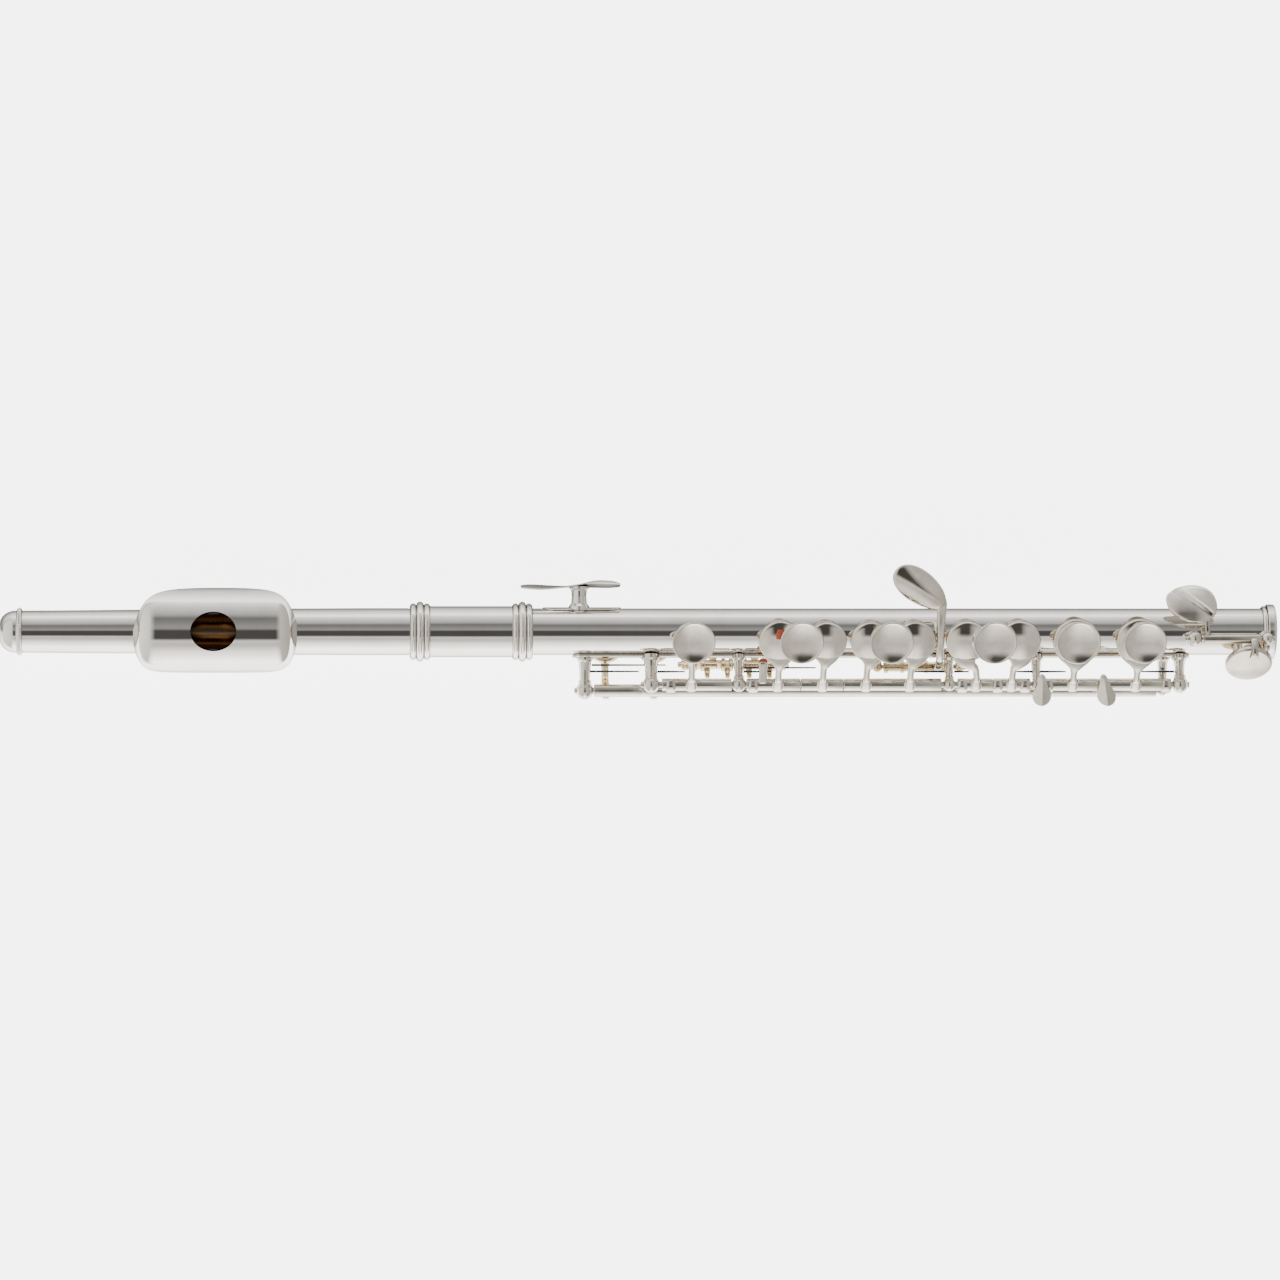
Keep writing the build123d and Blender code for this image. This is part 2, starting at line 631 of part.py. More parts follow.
def make_keys():
    for name, start, end, cups in MAIN_KEYS:
        save(name + "_key", main_key(start, end, cups))
        save(name + "_pad", main_pads(cups))
    for name, place, radius, stem in TOUCHES:
        save(name + "_touch", touch(place, radius, stem))
    save("b_flat_felt", b_flat_felt())
    save("trill_d_sharp_key", trill_d_sharp_key())
    save("trill_d_key", trill_key(TRILL_D, -158.9, -58.0, TRILL_D_TOUCH, KEY_BORE))
    save("trill_d_sharp_touch", trill_touch(TRILL_D_SHARP_TOUCH))
    save("trill_d_touch", trill_touch(TRILL_D_TOUCH))
    save("trill_d_sharp_pad", closed_pad(TRILL_D_SHARP))
    save("trill_d_pad", closed_pad(TRILL_D))
    save("g_sharp_key", g_sharp_key())
    save("g_sharp_pad", closed_pad(G_SHARP))
    save("g_sharp_spoon", g_sharp_spoon())
    save("foot_key", foot_key())
    save("foot_pad", closed_pad(FOOT_KEY))
    save("foot_touch", foot_touch())
    save("thumb_key", thumb_key(THUMB, -146.2, -135.9))
    save("thumb_pad", around(closed_pad(THUMB), -THUMB_OPEN, THUMB_LINE))
    save("thumb_touch", thumb_touch(THUMB, 4.4))
    save("thumb_b_flat_key", thumb_key(THUMB_B_FLAT, -135.7, -125.4))
    save("thumb_b_flat_pad", around(closed_pad(THUMB_B_FLAT), -THUMB_OPEN, THUMB_LINE))
    save("thumb_b_flat_touch", thumb_touch(THUMB_B_FLAT, 3.9))


os.makedirs("parts", exist_ok=True)
make_body()
make_head()
make_keys()
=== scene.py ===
import json
from math import asin, atan2, copysign, cos, hypot, pi, radians, sin, tan

import bmesh
import bpy
from mathutils import Matrix, Vector


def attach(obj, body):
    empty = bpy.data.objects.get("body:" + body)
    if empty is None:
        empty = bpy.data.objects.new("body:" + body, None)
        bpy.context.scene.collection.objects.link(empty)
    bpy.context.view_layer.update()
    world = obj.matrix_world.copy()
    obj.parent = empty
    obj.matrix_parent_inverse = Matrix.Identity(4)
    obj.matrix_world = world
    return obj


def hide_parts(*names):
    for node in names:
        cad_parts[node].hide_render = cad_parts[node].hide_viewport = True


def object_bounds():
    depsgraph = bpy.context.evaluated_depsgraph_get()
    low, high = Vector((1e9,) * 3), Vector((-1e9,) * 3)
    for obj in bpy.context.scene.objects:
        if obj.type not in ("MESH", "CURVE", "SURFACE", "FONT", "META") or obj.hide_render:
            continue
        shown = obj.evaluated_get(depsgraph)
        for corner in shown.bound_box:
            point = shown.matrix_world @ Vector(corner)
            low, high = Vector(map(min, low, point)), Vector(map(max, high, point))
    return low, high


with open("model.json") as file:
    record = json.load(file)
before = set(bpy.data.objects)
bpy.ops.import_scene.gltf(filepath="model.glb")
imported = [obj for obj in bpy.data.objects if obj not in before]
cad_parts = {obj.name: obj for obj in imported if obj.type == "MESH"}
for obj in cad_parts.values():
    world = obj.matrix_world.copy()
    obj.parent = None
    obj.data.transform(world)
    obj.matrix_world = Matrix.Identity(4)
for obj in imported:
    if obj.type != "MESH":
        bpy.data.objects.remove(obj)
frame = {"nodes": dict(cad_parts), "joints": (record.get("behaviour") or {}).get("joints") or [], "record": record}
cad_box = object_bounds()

# Everything is built in millimetres in the row frame and scaled to metres at the end.
MM = 0.001
X_AXIS = Vector((1.0, 0.0, 0.0))
HEAD_TURN = radians(-11.5)
VIEW_TILT = radians(11.5)
KEY_OPEN = radians(8.0)
THUMB_OPEN = radians(-7.0)


def joint_line(name):
    """The (y, z) of a hinge line, in millimetres."""
    for joint in frame["joints"]:
        if joint["name"] == name:
            return joint["pos_m"][1] / MM, joint["pos_m"][2] / MM
    raise ValueError(name)


MAIN_LINE = joint_line("a_press")
TRILL_LINE = joint_line("trill_d_press")
G_SHARP_LINE = joint_line("g_sharp_press")
THUMB_LINE = joint_line("thumb_press")
FOOT_LINE = joint_line("foot_key_press")

# Tubes: radii, and places along X
TUBE_R, BORE_R = 5.85, 5.45
BODY_START, FOOT_RING_START = -190.0, -3.4
BARREL_R, BARREL_START, BARREL_END = 6.4, -217.2, -187.2
HEAD_START, HEAD_END, HEAD_BORE_R = -314.1, -217.8, 4.8
FOOT_BORE_R = 5.65

# Hinge tubes and steels: radii
KEY_TUBE_R, TRILL_TUBE_R, SMALL_TUBE_R, SMALL_BORE = 1.575, 1.6, 1.2, 0.6
STEEL_R, SMALL_STEEL_R = 0.8, 0.55

# Keys: a pad's seat over the bore's axis, and the height of a cup's edge and top over the seat
SEAT = 6.9
CUP_SKIRT, CUP_RISE = 0.65, 2.15

# Head joint: the embouchure hole and the lip plate
EMBOUCHURE_X = -266.4
HOLE_LONG, HOLE_SHORT = 5.72, 4.9
LIP_MIDDLE, LIP_HALF, LIP_R, LIP_OUTER = -266.05, 20.15, 10.2, 10.4
REST_POST = -175.1

# The angle, in degrees, over which an edge is left sharp
CREASE = 34.0

# -------- materials


# How a polished surface darkens where it is seen nearly edge on.
EDGE_TINT = (0.42, 0.40, 0.38, 1.0)


def fill(node, stops):
    """Sets the stops of a colour ramp node."""
    elements = node.color_ramp.elements
    while len(elements) < len(stops):
        elements.new(0.5)
    for element, (place, colour) in zip(elements, stops):
        element.position = place
        element.color = (*colour, 1.0)
    return node


def add_node(tree, kind, **values):
    node = tree.nodes.new("ShaderNode" + kind)
    for key, value in values.items():
        setattr(node, key, value)
    return node


def add_span(tree, source, *limits):
    """Maps a value's range. The limits are from low, from high, to low and to high."""
    node = add_node(tree, "MapRange")
    for socket, value in zip(("From Min", "From Max", "To Min", "To Max"), limits):
        node.inputs[socket].default_value = value
    tree.links.new(source, node.inputs["Value"])
    return node.outputs["Result"]


class Nodes:
    """A short way to wire a material's nodes."""

    def __init__(self, name, metal=0.0, rough=0.5):
        self.material = bpy.data.materials.new(name)
        self.material.use_nodes = True
        self.tree = self.material.node_tree
        self.shader = self.tree.nodes["Principled BSDF"]
        self.shader.inputs["Metallic"].default_value = metal
        self.shader.inputs["Roughness"].default_value = rough
        if metal:
            self.shader.inputs["Specular Tint"].default_value = EDGE_TINT

    def add(self, kind, **values):
        return add_node(self.tree, kind, **values)

    def link(self, output, socket):
        self.tree.links.new(output, socket)

    def noise(self, scale, detail=3.0, roughness=0.55, stretch=(1.0, 1.0, 1.0)):
        mapping = self.add("Mapping")
        mapping.inputs["Scale"].default_value = stretch
        self.link(self.add("TexCoord").outputs["Object"], mapping.inputs["Vector"])
        node = self.add("TexNoise")
        node.inputs["Scale"].default_value = scale
        node.inputs["Detail"].default_value = detail
        node.inputs["Roughness"].default_value = roughness
        self.link(mapping.outputs["Vector"], node.inputs["Vector"])
        return node.outputs["Fac"]

    def ramp(self, source, stops):
        node = fill(self.add("ValToRGB"), stops)
        self.link(source, node.inputs["Fac"])
        return node.outputs["Color"]

    def span(self, source, *limits):
        return add_span(self.tree, source, *limits)

    def colour(self, source):
        self.link(source, self.shader.inputs["Base Color"])

    def bump(self, source, strength, distance):
        node = self.add("Bump")
        node.inputs["Strength"].default_value = strength
        node.inputs["Distance"].default_value = distance
        self.link(source, node.inputs["Height"])
        self.link(node.outputs["Normal"], self.shader.inputs["Normal"])


def metal(name, light, dark, smooth, dull, wave=0.05):
    """Polished metal: faint patchy discolouring, fine wiping marks and a slightly uneven surface."""
    n = Nodes(name, metal=1.0)
    n.colour(n.ramp(n.noise(170.0, 5.0, 0.62), [(0.28, dark), (0.60, light)]))
    wiping = n.noise(1400.0, 3.0, 0.6, (0.12, 1.0, 1.0))
    n.link(n.span(wiping, 0.30, 0.75, smooth, dull), n.shader.inputs["Roughness"])
    n.bump(n.noise(260.0, 2.0, 0.5), wave, 0.0002)
    return n.material


def fibrous(name, light, dark, scale, rough, bump):
    n = Nodes(name, rough=rough)
    grain = n.noise(scale, 5.0, 0.65)
    n.colour(n.ramp(grain, [(0.32, dark), (0.66, light)]))
    n.bump(grain, bump, 0.0003)
    return n.material


SILVER = metal("silver_plate", (0.93, 0.905, 0.87), (0.86, 0.83, 0.78), 0.02, 0.05, 0.035)
KEY_SILVER = metal("key_silver", (0.84, 0.795, 0.725), (0.62, 0.565, 0.48), 0.04, 0.12, 0.08)
# Painted shade: a darker copy of the silver, for the grooves between the rings' beads and for the foot key.
SHADE_SILVER = metal("painted_shade_silver", (0.62, 0.59, 0.52), (0.44, 0.40, 0.33), 0.08, 0.18, 0.08)
# Painted reflection: a warm, darker copy of the silver. It stands in for the warm light that parts on the back and
# underside reflect.
PAINTED_REFLECTION_SILVER = metal("painted_warm_reflection_silver", (0.80, 0.69, 0.47), (0.56, 0.43, 0.24), 0.10, 0.24, 0.1)
INNER_SILVER = metal("bore_silver", (0.38, 0.25, 0.14), (0.26, 0.165, 0.095), 0.14, 0.22, 0.02)
STEEL = metal("ground_steel", (0.62, 0.62, 0.63), (0.48, 0.48, 0.50), 0.16, 0.28)
SPRING = fibrous("blued_steel", (0.05, 0.06, 0.10), (0.02, 0.025, 0.045), 900.0, 0.35, 0.05)
CORK = fibrous("cork", (0.62, 0.42, 0.25), (0.33, 0.18, 0.09), 1500.0, 0.8, 0.4)
FELT = fibrous("red_felt", (0.62, 0.13, 0.06), (0.34, 0.05, 0.03), 2500.0, 0.95, 0.5)
PAD = fibrous("pad_skin", (0.84, 0.67, 0.42), (0.62, 0.43, 0.22), 700.0, 0.42, 0.15)

BY_SLOT = {
    "silver_plate": SILVER, "steel": STEEL, "blued_steel": SPRING,
    "pad_skin": PAD, "cork": CORK, "felt": FELT,
}
node_slots = {part["node"]: part["material_slot"] for part in frame["record"]["subparts"]}
for node_name, node in frame["nodes"].items():
    node.data.materials.clear()
    node.data.materials.append(BY_SLOT[node_slots[node_name]])

# -------- shaping


def turn_about(line, angle):
    """A turn about a line along X."""
    centre = Vector((0.0, line[0], line[1]))
    return Matrix.Translation(centre) @ Matrix.Rotation(angle, 4, "X") @ Matrix.Translation(-centre)


def at(x, turn=0.0):
    """The frame of a tone hole: Z out of the bore in its direction."""
    return Matrix.Translation(Vector((x, 0.0, 0.0))) @ Matrix.Rotation(turn, 4, "X")


UPRIGHT = Matrix(((0, 1, 0, 0), (0, 0, 1, 0), (1, 0, 0, 0), (0, 0, 0, 1)))
IN_PLACE = Matrix.Identity(4)
HEAD_FRAME = Matrix.Rotation(HEAD_TURN, 4, "X")


def on_line(line):
    """The frame of a line along X."""
    return Matrix.Translation(Vector((0.0, line[0], line[1])))


def standing(x, y):
    """The frame of a piece turned about an upright line."""
    return Matrix.Translation(Vector((x, y, 0.0))) @ UPRIGHT


def rounded(points, radii, steps=6, loop=False):
    """A polygon with its corners rounded."""
    out = []
    last = len(points) - 1
    for i, (point, radius) in enumerate(zip(points, radii)):
        corner = Vector(point)
        if not radius or (not loop and i in (0, last)):
            out.append(tuple(corner))
            continue
        back = Vector(points[i - 1]) - corner
        ahead = Vector(points[(i + 1) % len(points)]) - corner
        reach = min(radius / tan(back.angle(ahead) / 2), back.length * 0.49, ahead.length * 0.49)
        start = corner + back.normalized() * reach
        end = corner + ahead.normalized() * reach
        for k in range(steps + 1):
            t = k / steps
            out.append(tuple(start * (1 - t) ** 2 + corner * (2 * t * (1 - t)) + end * t * t))
    return out


def skin(rings, loop=False, turn=IN_PLACE):
    """A closed surface through rings of points; the end rings are capped unless the rings form a loop."""
    bm = bmesh.new()
    rows = [[bm.verts.new(turn @ Vector(point)) for point in ring] for ring in rings]
    pairs = list(zip(rows, rows[1:]))
    if loop:
        pairs.append((rows[-1], rows[0]))
    for low, high in pairs:
        for i in range(len(low)):
            k = (i + 1) % len(low)
            bm.faces.new((low[i], low[k], high[k], high[i]))
    if not loop:
        bm.faces.new(rows[0])
        bm.faces.new(rows[-1])
    return bm


def lathe(profile, turn=IN_PLACE, loop=False, sides=72, wobble=None):
    """A solid of revolution about X from (along, radius) points."""
    rings = []
    for along, radius in profile:
        ring = []
        for i in range(sides):
            angle = 2 * pi * i / sides
            r = max(radius, 0.01) + (wobble(along, angle) if wobble else 0.0)
            ring.append((along, r * cos(angle), r * sin(angle)))
        rings.append(ring)
    return skin(rings, loop, turn)


def smooth_path(stations, steps=6):
    """Catmull-Rom through stations, each a tuple of numbers of any length."""
    rows = [Vector(s) for s in stations]
    rows = [rows[0] * 2 - rows[1]] + rows + [rows[-1] * 2 - rows[-2]]
    out = []
    for a, b, c, d in zip(rows, rows[1:], rows[2:], rows[3:]):
        for k in range(steps):
            t = k / steps
            out.append(0.5 * (2 * b + (c - a) * t + (2 * a - 5 * b + 4 * c - d) * t * t
                              + (3 * b - a - 3 * c + d) * t ** 3))
    out.append(rows[-2].copy())
    return out


def squircle(angle, power):
    c, s = cos(angle), sin(angle)
    return copysign(abs(c) ** (2 / power), c), copysign(abs(s) ** (2 / power), s)


def bar(stations, turn=IN_PLACE, steps=6, sides=20, power=3.0, side=X_AXIS):
    """A bar through (x, y, z, width, height) stations, its width along side and its ends rounded.
    A sixth number twists the section, in radians."""
    path = smooth_path(stations, steps)
    points = [Vector(p[:3]) for p in path]
    rings = []
    for i, row in enumerate(path):
        tangent = (points[min(i + 1, len(points) - 1)] - points[max(i - 1, 0)]).normalized()
        across = (side - tangent * side.dot(tangent)).normalized()
        if len(row) > 5:
            across = Matrix.Rotation(row[5], 3, tangent) @ across
        up = tangent.cross(across)
        rings.append((points[i], tangent, across, up, row[3] / 2, row[4] / 2))

    def ring(row, shrink, shift):
        centre, tangent, across, up, wide, high = row
        out = []
        for k in range(sides):
            c, s = squircle(2 * pi * k / sides, power)
            out.append(centre + tangent * shift + across * (wide * shrink * c) + up * (high * shrink * s))
        return out

    rows = []
    for shrink in (0.25, 0.55, 0.8, 0.95):
        rows.append(ring(rings[0], shrink, -rings[0][5] * (1 - shrink * shrink) ** 0.5))
    rows += [ring(row, 1.0, 0.0) for row in rings]
    for shrink in (0.95, 0.8, 0.55, 0.25):
        rows.append(ring(rings[-1], shrink, rings[-1][5] * (1 - shrink * shrink) ** 0.5))
    return skin(rows, False, turn)


def plate(outline, surface, thick, turn=IN_PLACE, rows=10, rim=5, inner=None):
    """A thin plate. outline(angle) gives its edge in (u, v), surface(u, v, w) the point at height w.
    The edge is rounded; with inner(angle) the plate has a hole with a crisp edge."""
    sides = 96
    half = thick / 2
    rings = []

    def ring(share, w, grow=0.0):
        points = []
        for i in range(sides):
            angle = 2 * pi * i / sides
            edge = Vector(outline(angle))
            hub = Vector(inner(angle)) if inner else Vector(outline(None))
            spoke = edge - hub
            place = hub + spoke * share + spoke.normalized() * grow
            points.append(surface(place.x, place.y, w))
        rings.append(points)

    first = 0 if inner else 0.02
    shares = [first + (1 - first) * k / rows for k in range(rows + 1)]
    for share in shares:
        ring(share, half)
    for k in range(1, rim):
        ring(1.0, half * cos(pi * k / rim), half * sin(pi * k / rim))
    for share in reversed(shares):
        ring(share, -half)
    return skin(rings, bool(inner), turn)


def joined(*meshes):
    """One bmesh from several."""
    whole = meshes[0]
    for other in meshes[1:]:
        scratch = bpy.data.meshes.new("scratch")
        other.to_mesh(scratch)
        other.free()
        whole.from_mesh(scratch)
        bpy.data.meshes.remove(scratch)
    return whole


def show(name, data):
    """A new object in the scene."""
    made = bpy.data.objects.new(name, data)
    bpy.context.scene.collection.objects.link(made)
    return made


def piece(name, bm, body, material, replaces=(), crease=CREASE):
    """Finishes a bmesh as a piece that rides on a body."""
    bmesh.ops.recalc_face_normals(bm, faces=bm.faces)
    bm.transform(Matrix.Scale(MM, 4))
    for face in bm.faces:
        face.smooth = True
    for edge in bm.edges:
        if len(edge.link_faces) == 2 and edge.calc_face_angle(0.0) > radians(crease):
            edge.smooth = False
    mesh = bpy.data.meshes.new(name)
    bm.to_mesh(mesh)
    bm.free()
    mesh.materials.append(material)
    made = show(name, mesh)
    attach(made, body)
    if replaces:
        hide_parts(*replaces)
    return made


def repaint(made, material, chosen):
    """Gives the faces of a piece for which chosen(face) holds a second material."""
    made.data.materials.append(material)
    for face in made.data.polygons:
        if chosen(face):
            face.material_index = 1


def paint_warm_reflection(made, below):
    """Painted warm, darker reflection on the faces under a height, in millimetres."""
    repaint(made, PAINTED_REFLECTION_SILVER, lambda face: face.center.z / MM < below)


def carve(made, cutter):
    """Cuts a bmesh (in millimetres) out of a finished piece."""
    cutter.transform(Matrix.Scale(MM, 4))
    bmesh.ops.recalc_face_normals(cutter, faces=cutter.faces)
    tool_mesh = bpy.data.meshes.new("cutter")
    cutter.to_mesh(tool_mesh)
    cutter.free()
    tool = show("cutter", tool_mesh)
    cut = made.modifiers.new("cut", "BOOLEAN")
    cut.operation = "DIFFERENCE"
    cut.solver = "EXACT"
    cut.object = tool
    bpy.context.view_layer.update()
    graph = bpy.context.evaluated_depsgraph_get()
    mesh = bpy.data.meshes.new_from_object(made.evaluated_get(graph))
    made.modifiers.clear()
    made.data = mesh
    bpy.data.objects.remove(tool)
    bm = bmesh.new()
    bm.from_mesh(mesh)
    for edge in bm.edges:
        edge.smooth = not (len(edge.link_faces) == 2 and edge.calc_face_angle(0.0) > radians(CREASE))
    bm.to_mesh(mesh)
    bm.free()


# -------- body joint

# The foot key's cup: place, radius and turn about the bore, in degrees
FOOT_CUP = (-7.3, 5.9, 38.0)
FOOT_SEAT = 9.2
FOOT_HOLE_R = 3.3

# Tone holes: place, radius and turn about the bore, in degrees
HOLES = [
    (-147.6, 3.17, 0.0), (-125.2, 3.89, 0.0), (-113.6, 3.67, 0.0), (-102.5, 3.71, 0.0), (-91.4, 3.74, 0.0),
    (-78.4, 3.82, 0.0), (-65.3, 3.89, 0.0), (-51.0, 4.25, 0.0), (-35.1, 4.28, 0.0),
    (-168.3, 3.0, 138.5), (-156.2, 3.0, 138.5), (-96.6, 3.4, 146.0), (-141.0, 3.0, 180.0),
    (-130.4, 2.9, 180.0),
]


def arc(centre, radius, start, end, steps=12):
    """Points on an arc, from one angle to another in degrees."""
    angles = [radians(start + (end - start) * k / steps) for k in range(steps + 1)]
    return [(centre[0] + radius * cos(a), centre[1] + radius * sin(a)) for a in angles]


def make_tube():
    start, end = BODY_START, FOOT_RING_START
    corners = [(start, TUBE_R), (end, TUBE_R), (end, BORE_R), (start, BORE_R)]
    tube = piece("body_tube_wall", lathe(corners, loop=True, sides=128), "body", SILVER, ("body_tube",))
    holes = HOLES + [(FOOT_CUP[0], FOOT_HOLE_R, FOOT_CUP[2])]
    cutters = [lathe([(0.0, r), (12.0, r)], at(x, radians(turn)) @ UPRIGHT, sides=48) for x, r, turn in holes]
    carve(tube, joined(*cutters))


def chimney(x, radius, turn, seat):
    """A drawn rim round a tone hole: it follows the tube below and its top edge is rolled."""
    wall = 0.4
    section = [(radius, None), (radius, seat - 0.25)]
    section += arc((radius + 0.2, seat - 0.2), 0.2, 180.0, 0.0, 6)
    section += [(radius + wall, seat - 0.6), (radius + wall, None)]
    rings = []
    for r, height in section:
        ring = []
        for k in range(64):
            angle = 2 * pi * k / 64
            side = r * sin(angle)
            level = ((TUBE_R - 0.1) ** 2 - side * side) ** 0.5 if height is None else height
            ring.append((r * cos(angle), side, level))
        rings.append(ring)
    return skin(rings, True, at(x, radians(turn)))


def make_chimneys():
    rims = [chimney(x, r, turn, SEAT) for x, r, turn in HOLES]
    rims.append(chimney(FOOT_CUP[0], FOOT_HOLE_R, FOOT_CUP[2], FOOT_SEAT))
    piece("tone_hole_rims", joined(*rims), "body", KEY_SILVER, ("tone_hole_chimneys",), crease=50.0)


def make_barrel():
    inner = TUBE_R + 0.02
    corners = [(BARREL_START, BARREL_R), (BARREL_END, BARREL_R), (BARREL_END, inner), (BARREL_START, inner)]
    piece("barrel_wall", lathe(corners, loop=True, sides=128), "body", SILVER, ("receiver_barrel",))
    rings = []
    for start in (-217.6, -192.0):
        profile = [(start + 0.15, BARREL_R)]
        for offset, top, bead in ((0.95, 7.1, 0.88), (2.65, 7.55, 0.95), (4.35, 7.1, 0.88)):
            profile += arc((start + offset, top - bead), bead, 200.0, -20.0)
        profile.append((start + 5.15, BARREL_R))
        rings.append(lathe(profile, loop=True, sides=128))
    made = piece("beaded_rings", joined(*rings), "body", SILVER, ("barrel_rings",), crease=50.0)
    # Painted shade: the faces low between the beads get the darker silver.
    repaint(made, SHADE_SILVER, lambda face: hypot(face.center.y, face.center.z) / MM < BARREL_R + 0.45)


def make_foot():
    profile = [(FOOT_RING_START, FOOT_BORE_R), (FOOT_RING_START, 6.1)]
    profile += arc((-2.75, 5.88), 0.62, 190.0, -10.0, 8)
    profile += rounded([(-2.12, 6.3), (-2.1, 6.9), (0.0, 6.9), (0.0, FOOT_BORE_R)], (0.0, 0.75, 0.6, 0.0), 8)
    piece("foot_rim", lathe(profile, loop=True, sides=128), "body", SILVER, ("foot_ring",))


def strap(stations, middle, spread, thick, sides, power, turn=IN_PLACE):
    """A strap bent round the tube, through (x, share of its spread) stations."""
    low, high = TUBE_R + 0.02, TUBE_R + thick
    rings = []
    for x, share in stations:
        ring = []
        for k in range(sides):
            c, s = squircle(2 * pi * k / sides, power)
            angle = middle + spread * share * c
            r = (low + high) / 2 + (high - low) / 2 * s
            ring.append((x, r * sin(angle), r * cos(angle)))
        rings.append(ring)
    return skin(rings, False, turn)


def make_rib():
    """The strap under the posts, with rounded ends and edges."""
    start, end, thick = -176.8, -21.5, 0.75
    middle, spread = radians(74.3), radians(16.7)
    reach = spread * (TUBE_R + thick)
    stations = [(start + reach * (1 - cos(radians(a))), sin(radians(a))) for a in range(6, 91, 12)]
    ends = [(start + end - x, share) for x, share in reversed(stations)]
    rib = strap(stations + ends, -middle, -spread, thick, 32, 6.0)
    piece("rib_strap", rib, "body", KEY_SILVER, ("main_rib",), crease=60.0)


def post(x, line, ball, waist, foot=TUBE_R + 0.75):
    """A turned post with a flared foot, a waisted stalk, a small collar and its ball."""
    base = waist + 0.8
    length = hypot(*line)
    turn = at(x, atan2(-line[0], line[1])) @ UPRIGHT
    low = length - ball
    profile = rounded(
        [(foot - 0.7, 0.0), (foot - 0.7, base), (foot + 0.35, base), (foot + 0.8, waist * 1.25),
         (foot + (low - foot) * 0.5, waist * 1.08), (low - 0.45, waist),
         (low - 0.25, max(ball * 0.72, waist)), (low + 0.15, ball * 0.72)],
        (0.0, 0.1, 0.3, 0.8, 1.6, 0.25, 0.2, 0.0), 6)
    profile += arc((length, 0.0), ball, 134.0, 0.0, 16)
    return lathe(profile, turn, sides=48)


def screw_head(x, line, facing):
    """The slotted head of a pivot screw in a post's ball."""
    radius, slot = 0.75, 0.13
    halves = []
    for side in (1, -1):
        rim = [(side * slot + side * (radius - slot) * sin(radians(a)), radius * cos(radians(a)))
               for a in range(0, 181, 12)]
        rings = [[(x + facing * depth, line[0] + u * grow, line[1] + v * grow) for u, v in rim]
                 for depth, grow in ((-0.5, 1.0), (0.22, 1.0), (0.32, 0.93))]
        halves.append(skin(rings))
    floor = lathe([(x - 0.5, 0.0), (x - 0.5, 0.7), (x + 0.05 * facing, 0.7), (x + 0.05 * facing, 0.0)],
                  on_line(line), sides=24)
    return joined(floor, *halves)


# Posts: place, hinge line, ball radius, radius at the waist
RIB_POSTS = [
    (-173.6, TRILL_LINE, 2.2, 1.3), (-157.1, MAIN_LINE, 2.15, 1.5), (-135.1, MAIN_LINE, 1.85, 1.0),
    (-82.2, MAIN_LINE, 1.65, 0.95), (-60.3, MAIN_LINE, 1.4, 1.05), (-28.1, TRILL_LINE, 1.3, 1.05),
    (-24.1, MAIN_LINE, 2.1, 1.15),
]
BACK_POSTS = [
    (-99.9, G_SHARP_LINE, 1.35, 0.8), (-79.3, G_SHARP_LINE, 1.35, 0.8), (-148.0, THUMB_LINE, 1.45, 0.8),
    (-123.6, THUMB_LINE, 1.45, 0.8),
]
FOOT_POSTS = [(-21.1, FOOT_LINE, 1.9, 0.8), (-2.85, FOOT_LINE, 1.6, 0.8)]

# Pivot screws: place, hinge line and the way they face
RIB_SCREWS = [(-175.75, TRILL_LINE, -1), (-159.2, MAIN_LINE, -1), (-22.05, MAIN_LINE, 1),
              (-26.85, TRILL_LINE, 1)]
BACK_SCREWS = [(-101.2, G_SHARP_LINE, -1), (-78.0, G_SHARP_LINE, 1), (-149.4, THUMB_LINE, -1),
               (-122.2, THUMB_LINE, 1)]
FOOT_SCREWS = [(-22.9, FOOT_LINE, -1), (-1.3, FOOT_LINE, 1)]


def make_posts():
    low = TUBE_R + 0.1
    rib = [post(*spec) for spec in RIB_POSTS] + [screw_head(*spec) for spec in RIB_SCREWS]
    back = [post(*spec, low) for spec in BACK_POSTS] + [screw_head(*spec) for spec in BACK_SCREWS]
    foot = [post(*spec, low) for spec in FOOT_POSTS] + [screw_head(*spec) for spec in FOOT_SCREWS]
    piece("turned_rib_posts", joined(*rib), "body", KEY_SILVER, ("rib_posts",), crease=40.0)
    # The back posts carry the painted warm reflection.
    piece("turned_back_posts", joined(*back), "body", PAINTED_REFLECTION_SILVER, ("back_posts",), crease=40.0)
    piece("turned_foot_posts", joined(*foot), "body", KEY_SILVER, ("foot_posts",), crease=40.0)


def rod(start, end, radius, line):
    bevel = 0.15
    profile = rounded([(start, 0.0), (start, radius), (end, radius), (end, 0.0)], (0, bevel, bevel, 0), 3)
    return lathe(profile, on_line(line), sides=32)


def make_steels():
    spans = [
        (-158.9, -135.2, STEEL_R, MAIN_LINE), (-135.0, -82.3, STEEL_R, MAIN_LINE),
        (-82.1, -22.4, STEEL_R, MAIN_LINE), (-101.1, -78.1, SMALL_STEEL_R, G_SHARP_LINE),
        (-149.3, -122.3, SMALL_STEEL_R, THUMB_LINE), (-22.6, -1.6, SMALL_STEEL_R, FOOT_LINE),
    ]
    rods = [rod(*span) for span in spans]
    piece("steel_rods", joined(*rods), "body", STEEL, ("hinge_steels",))


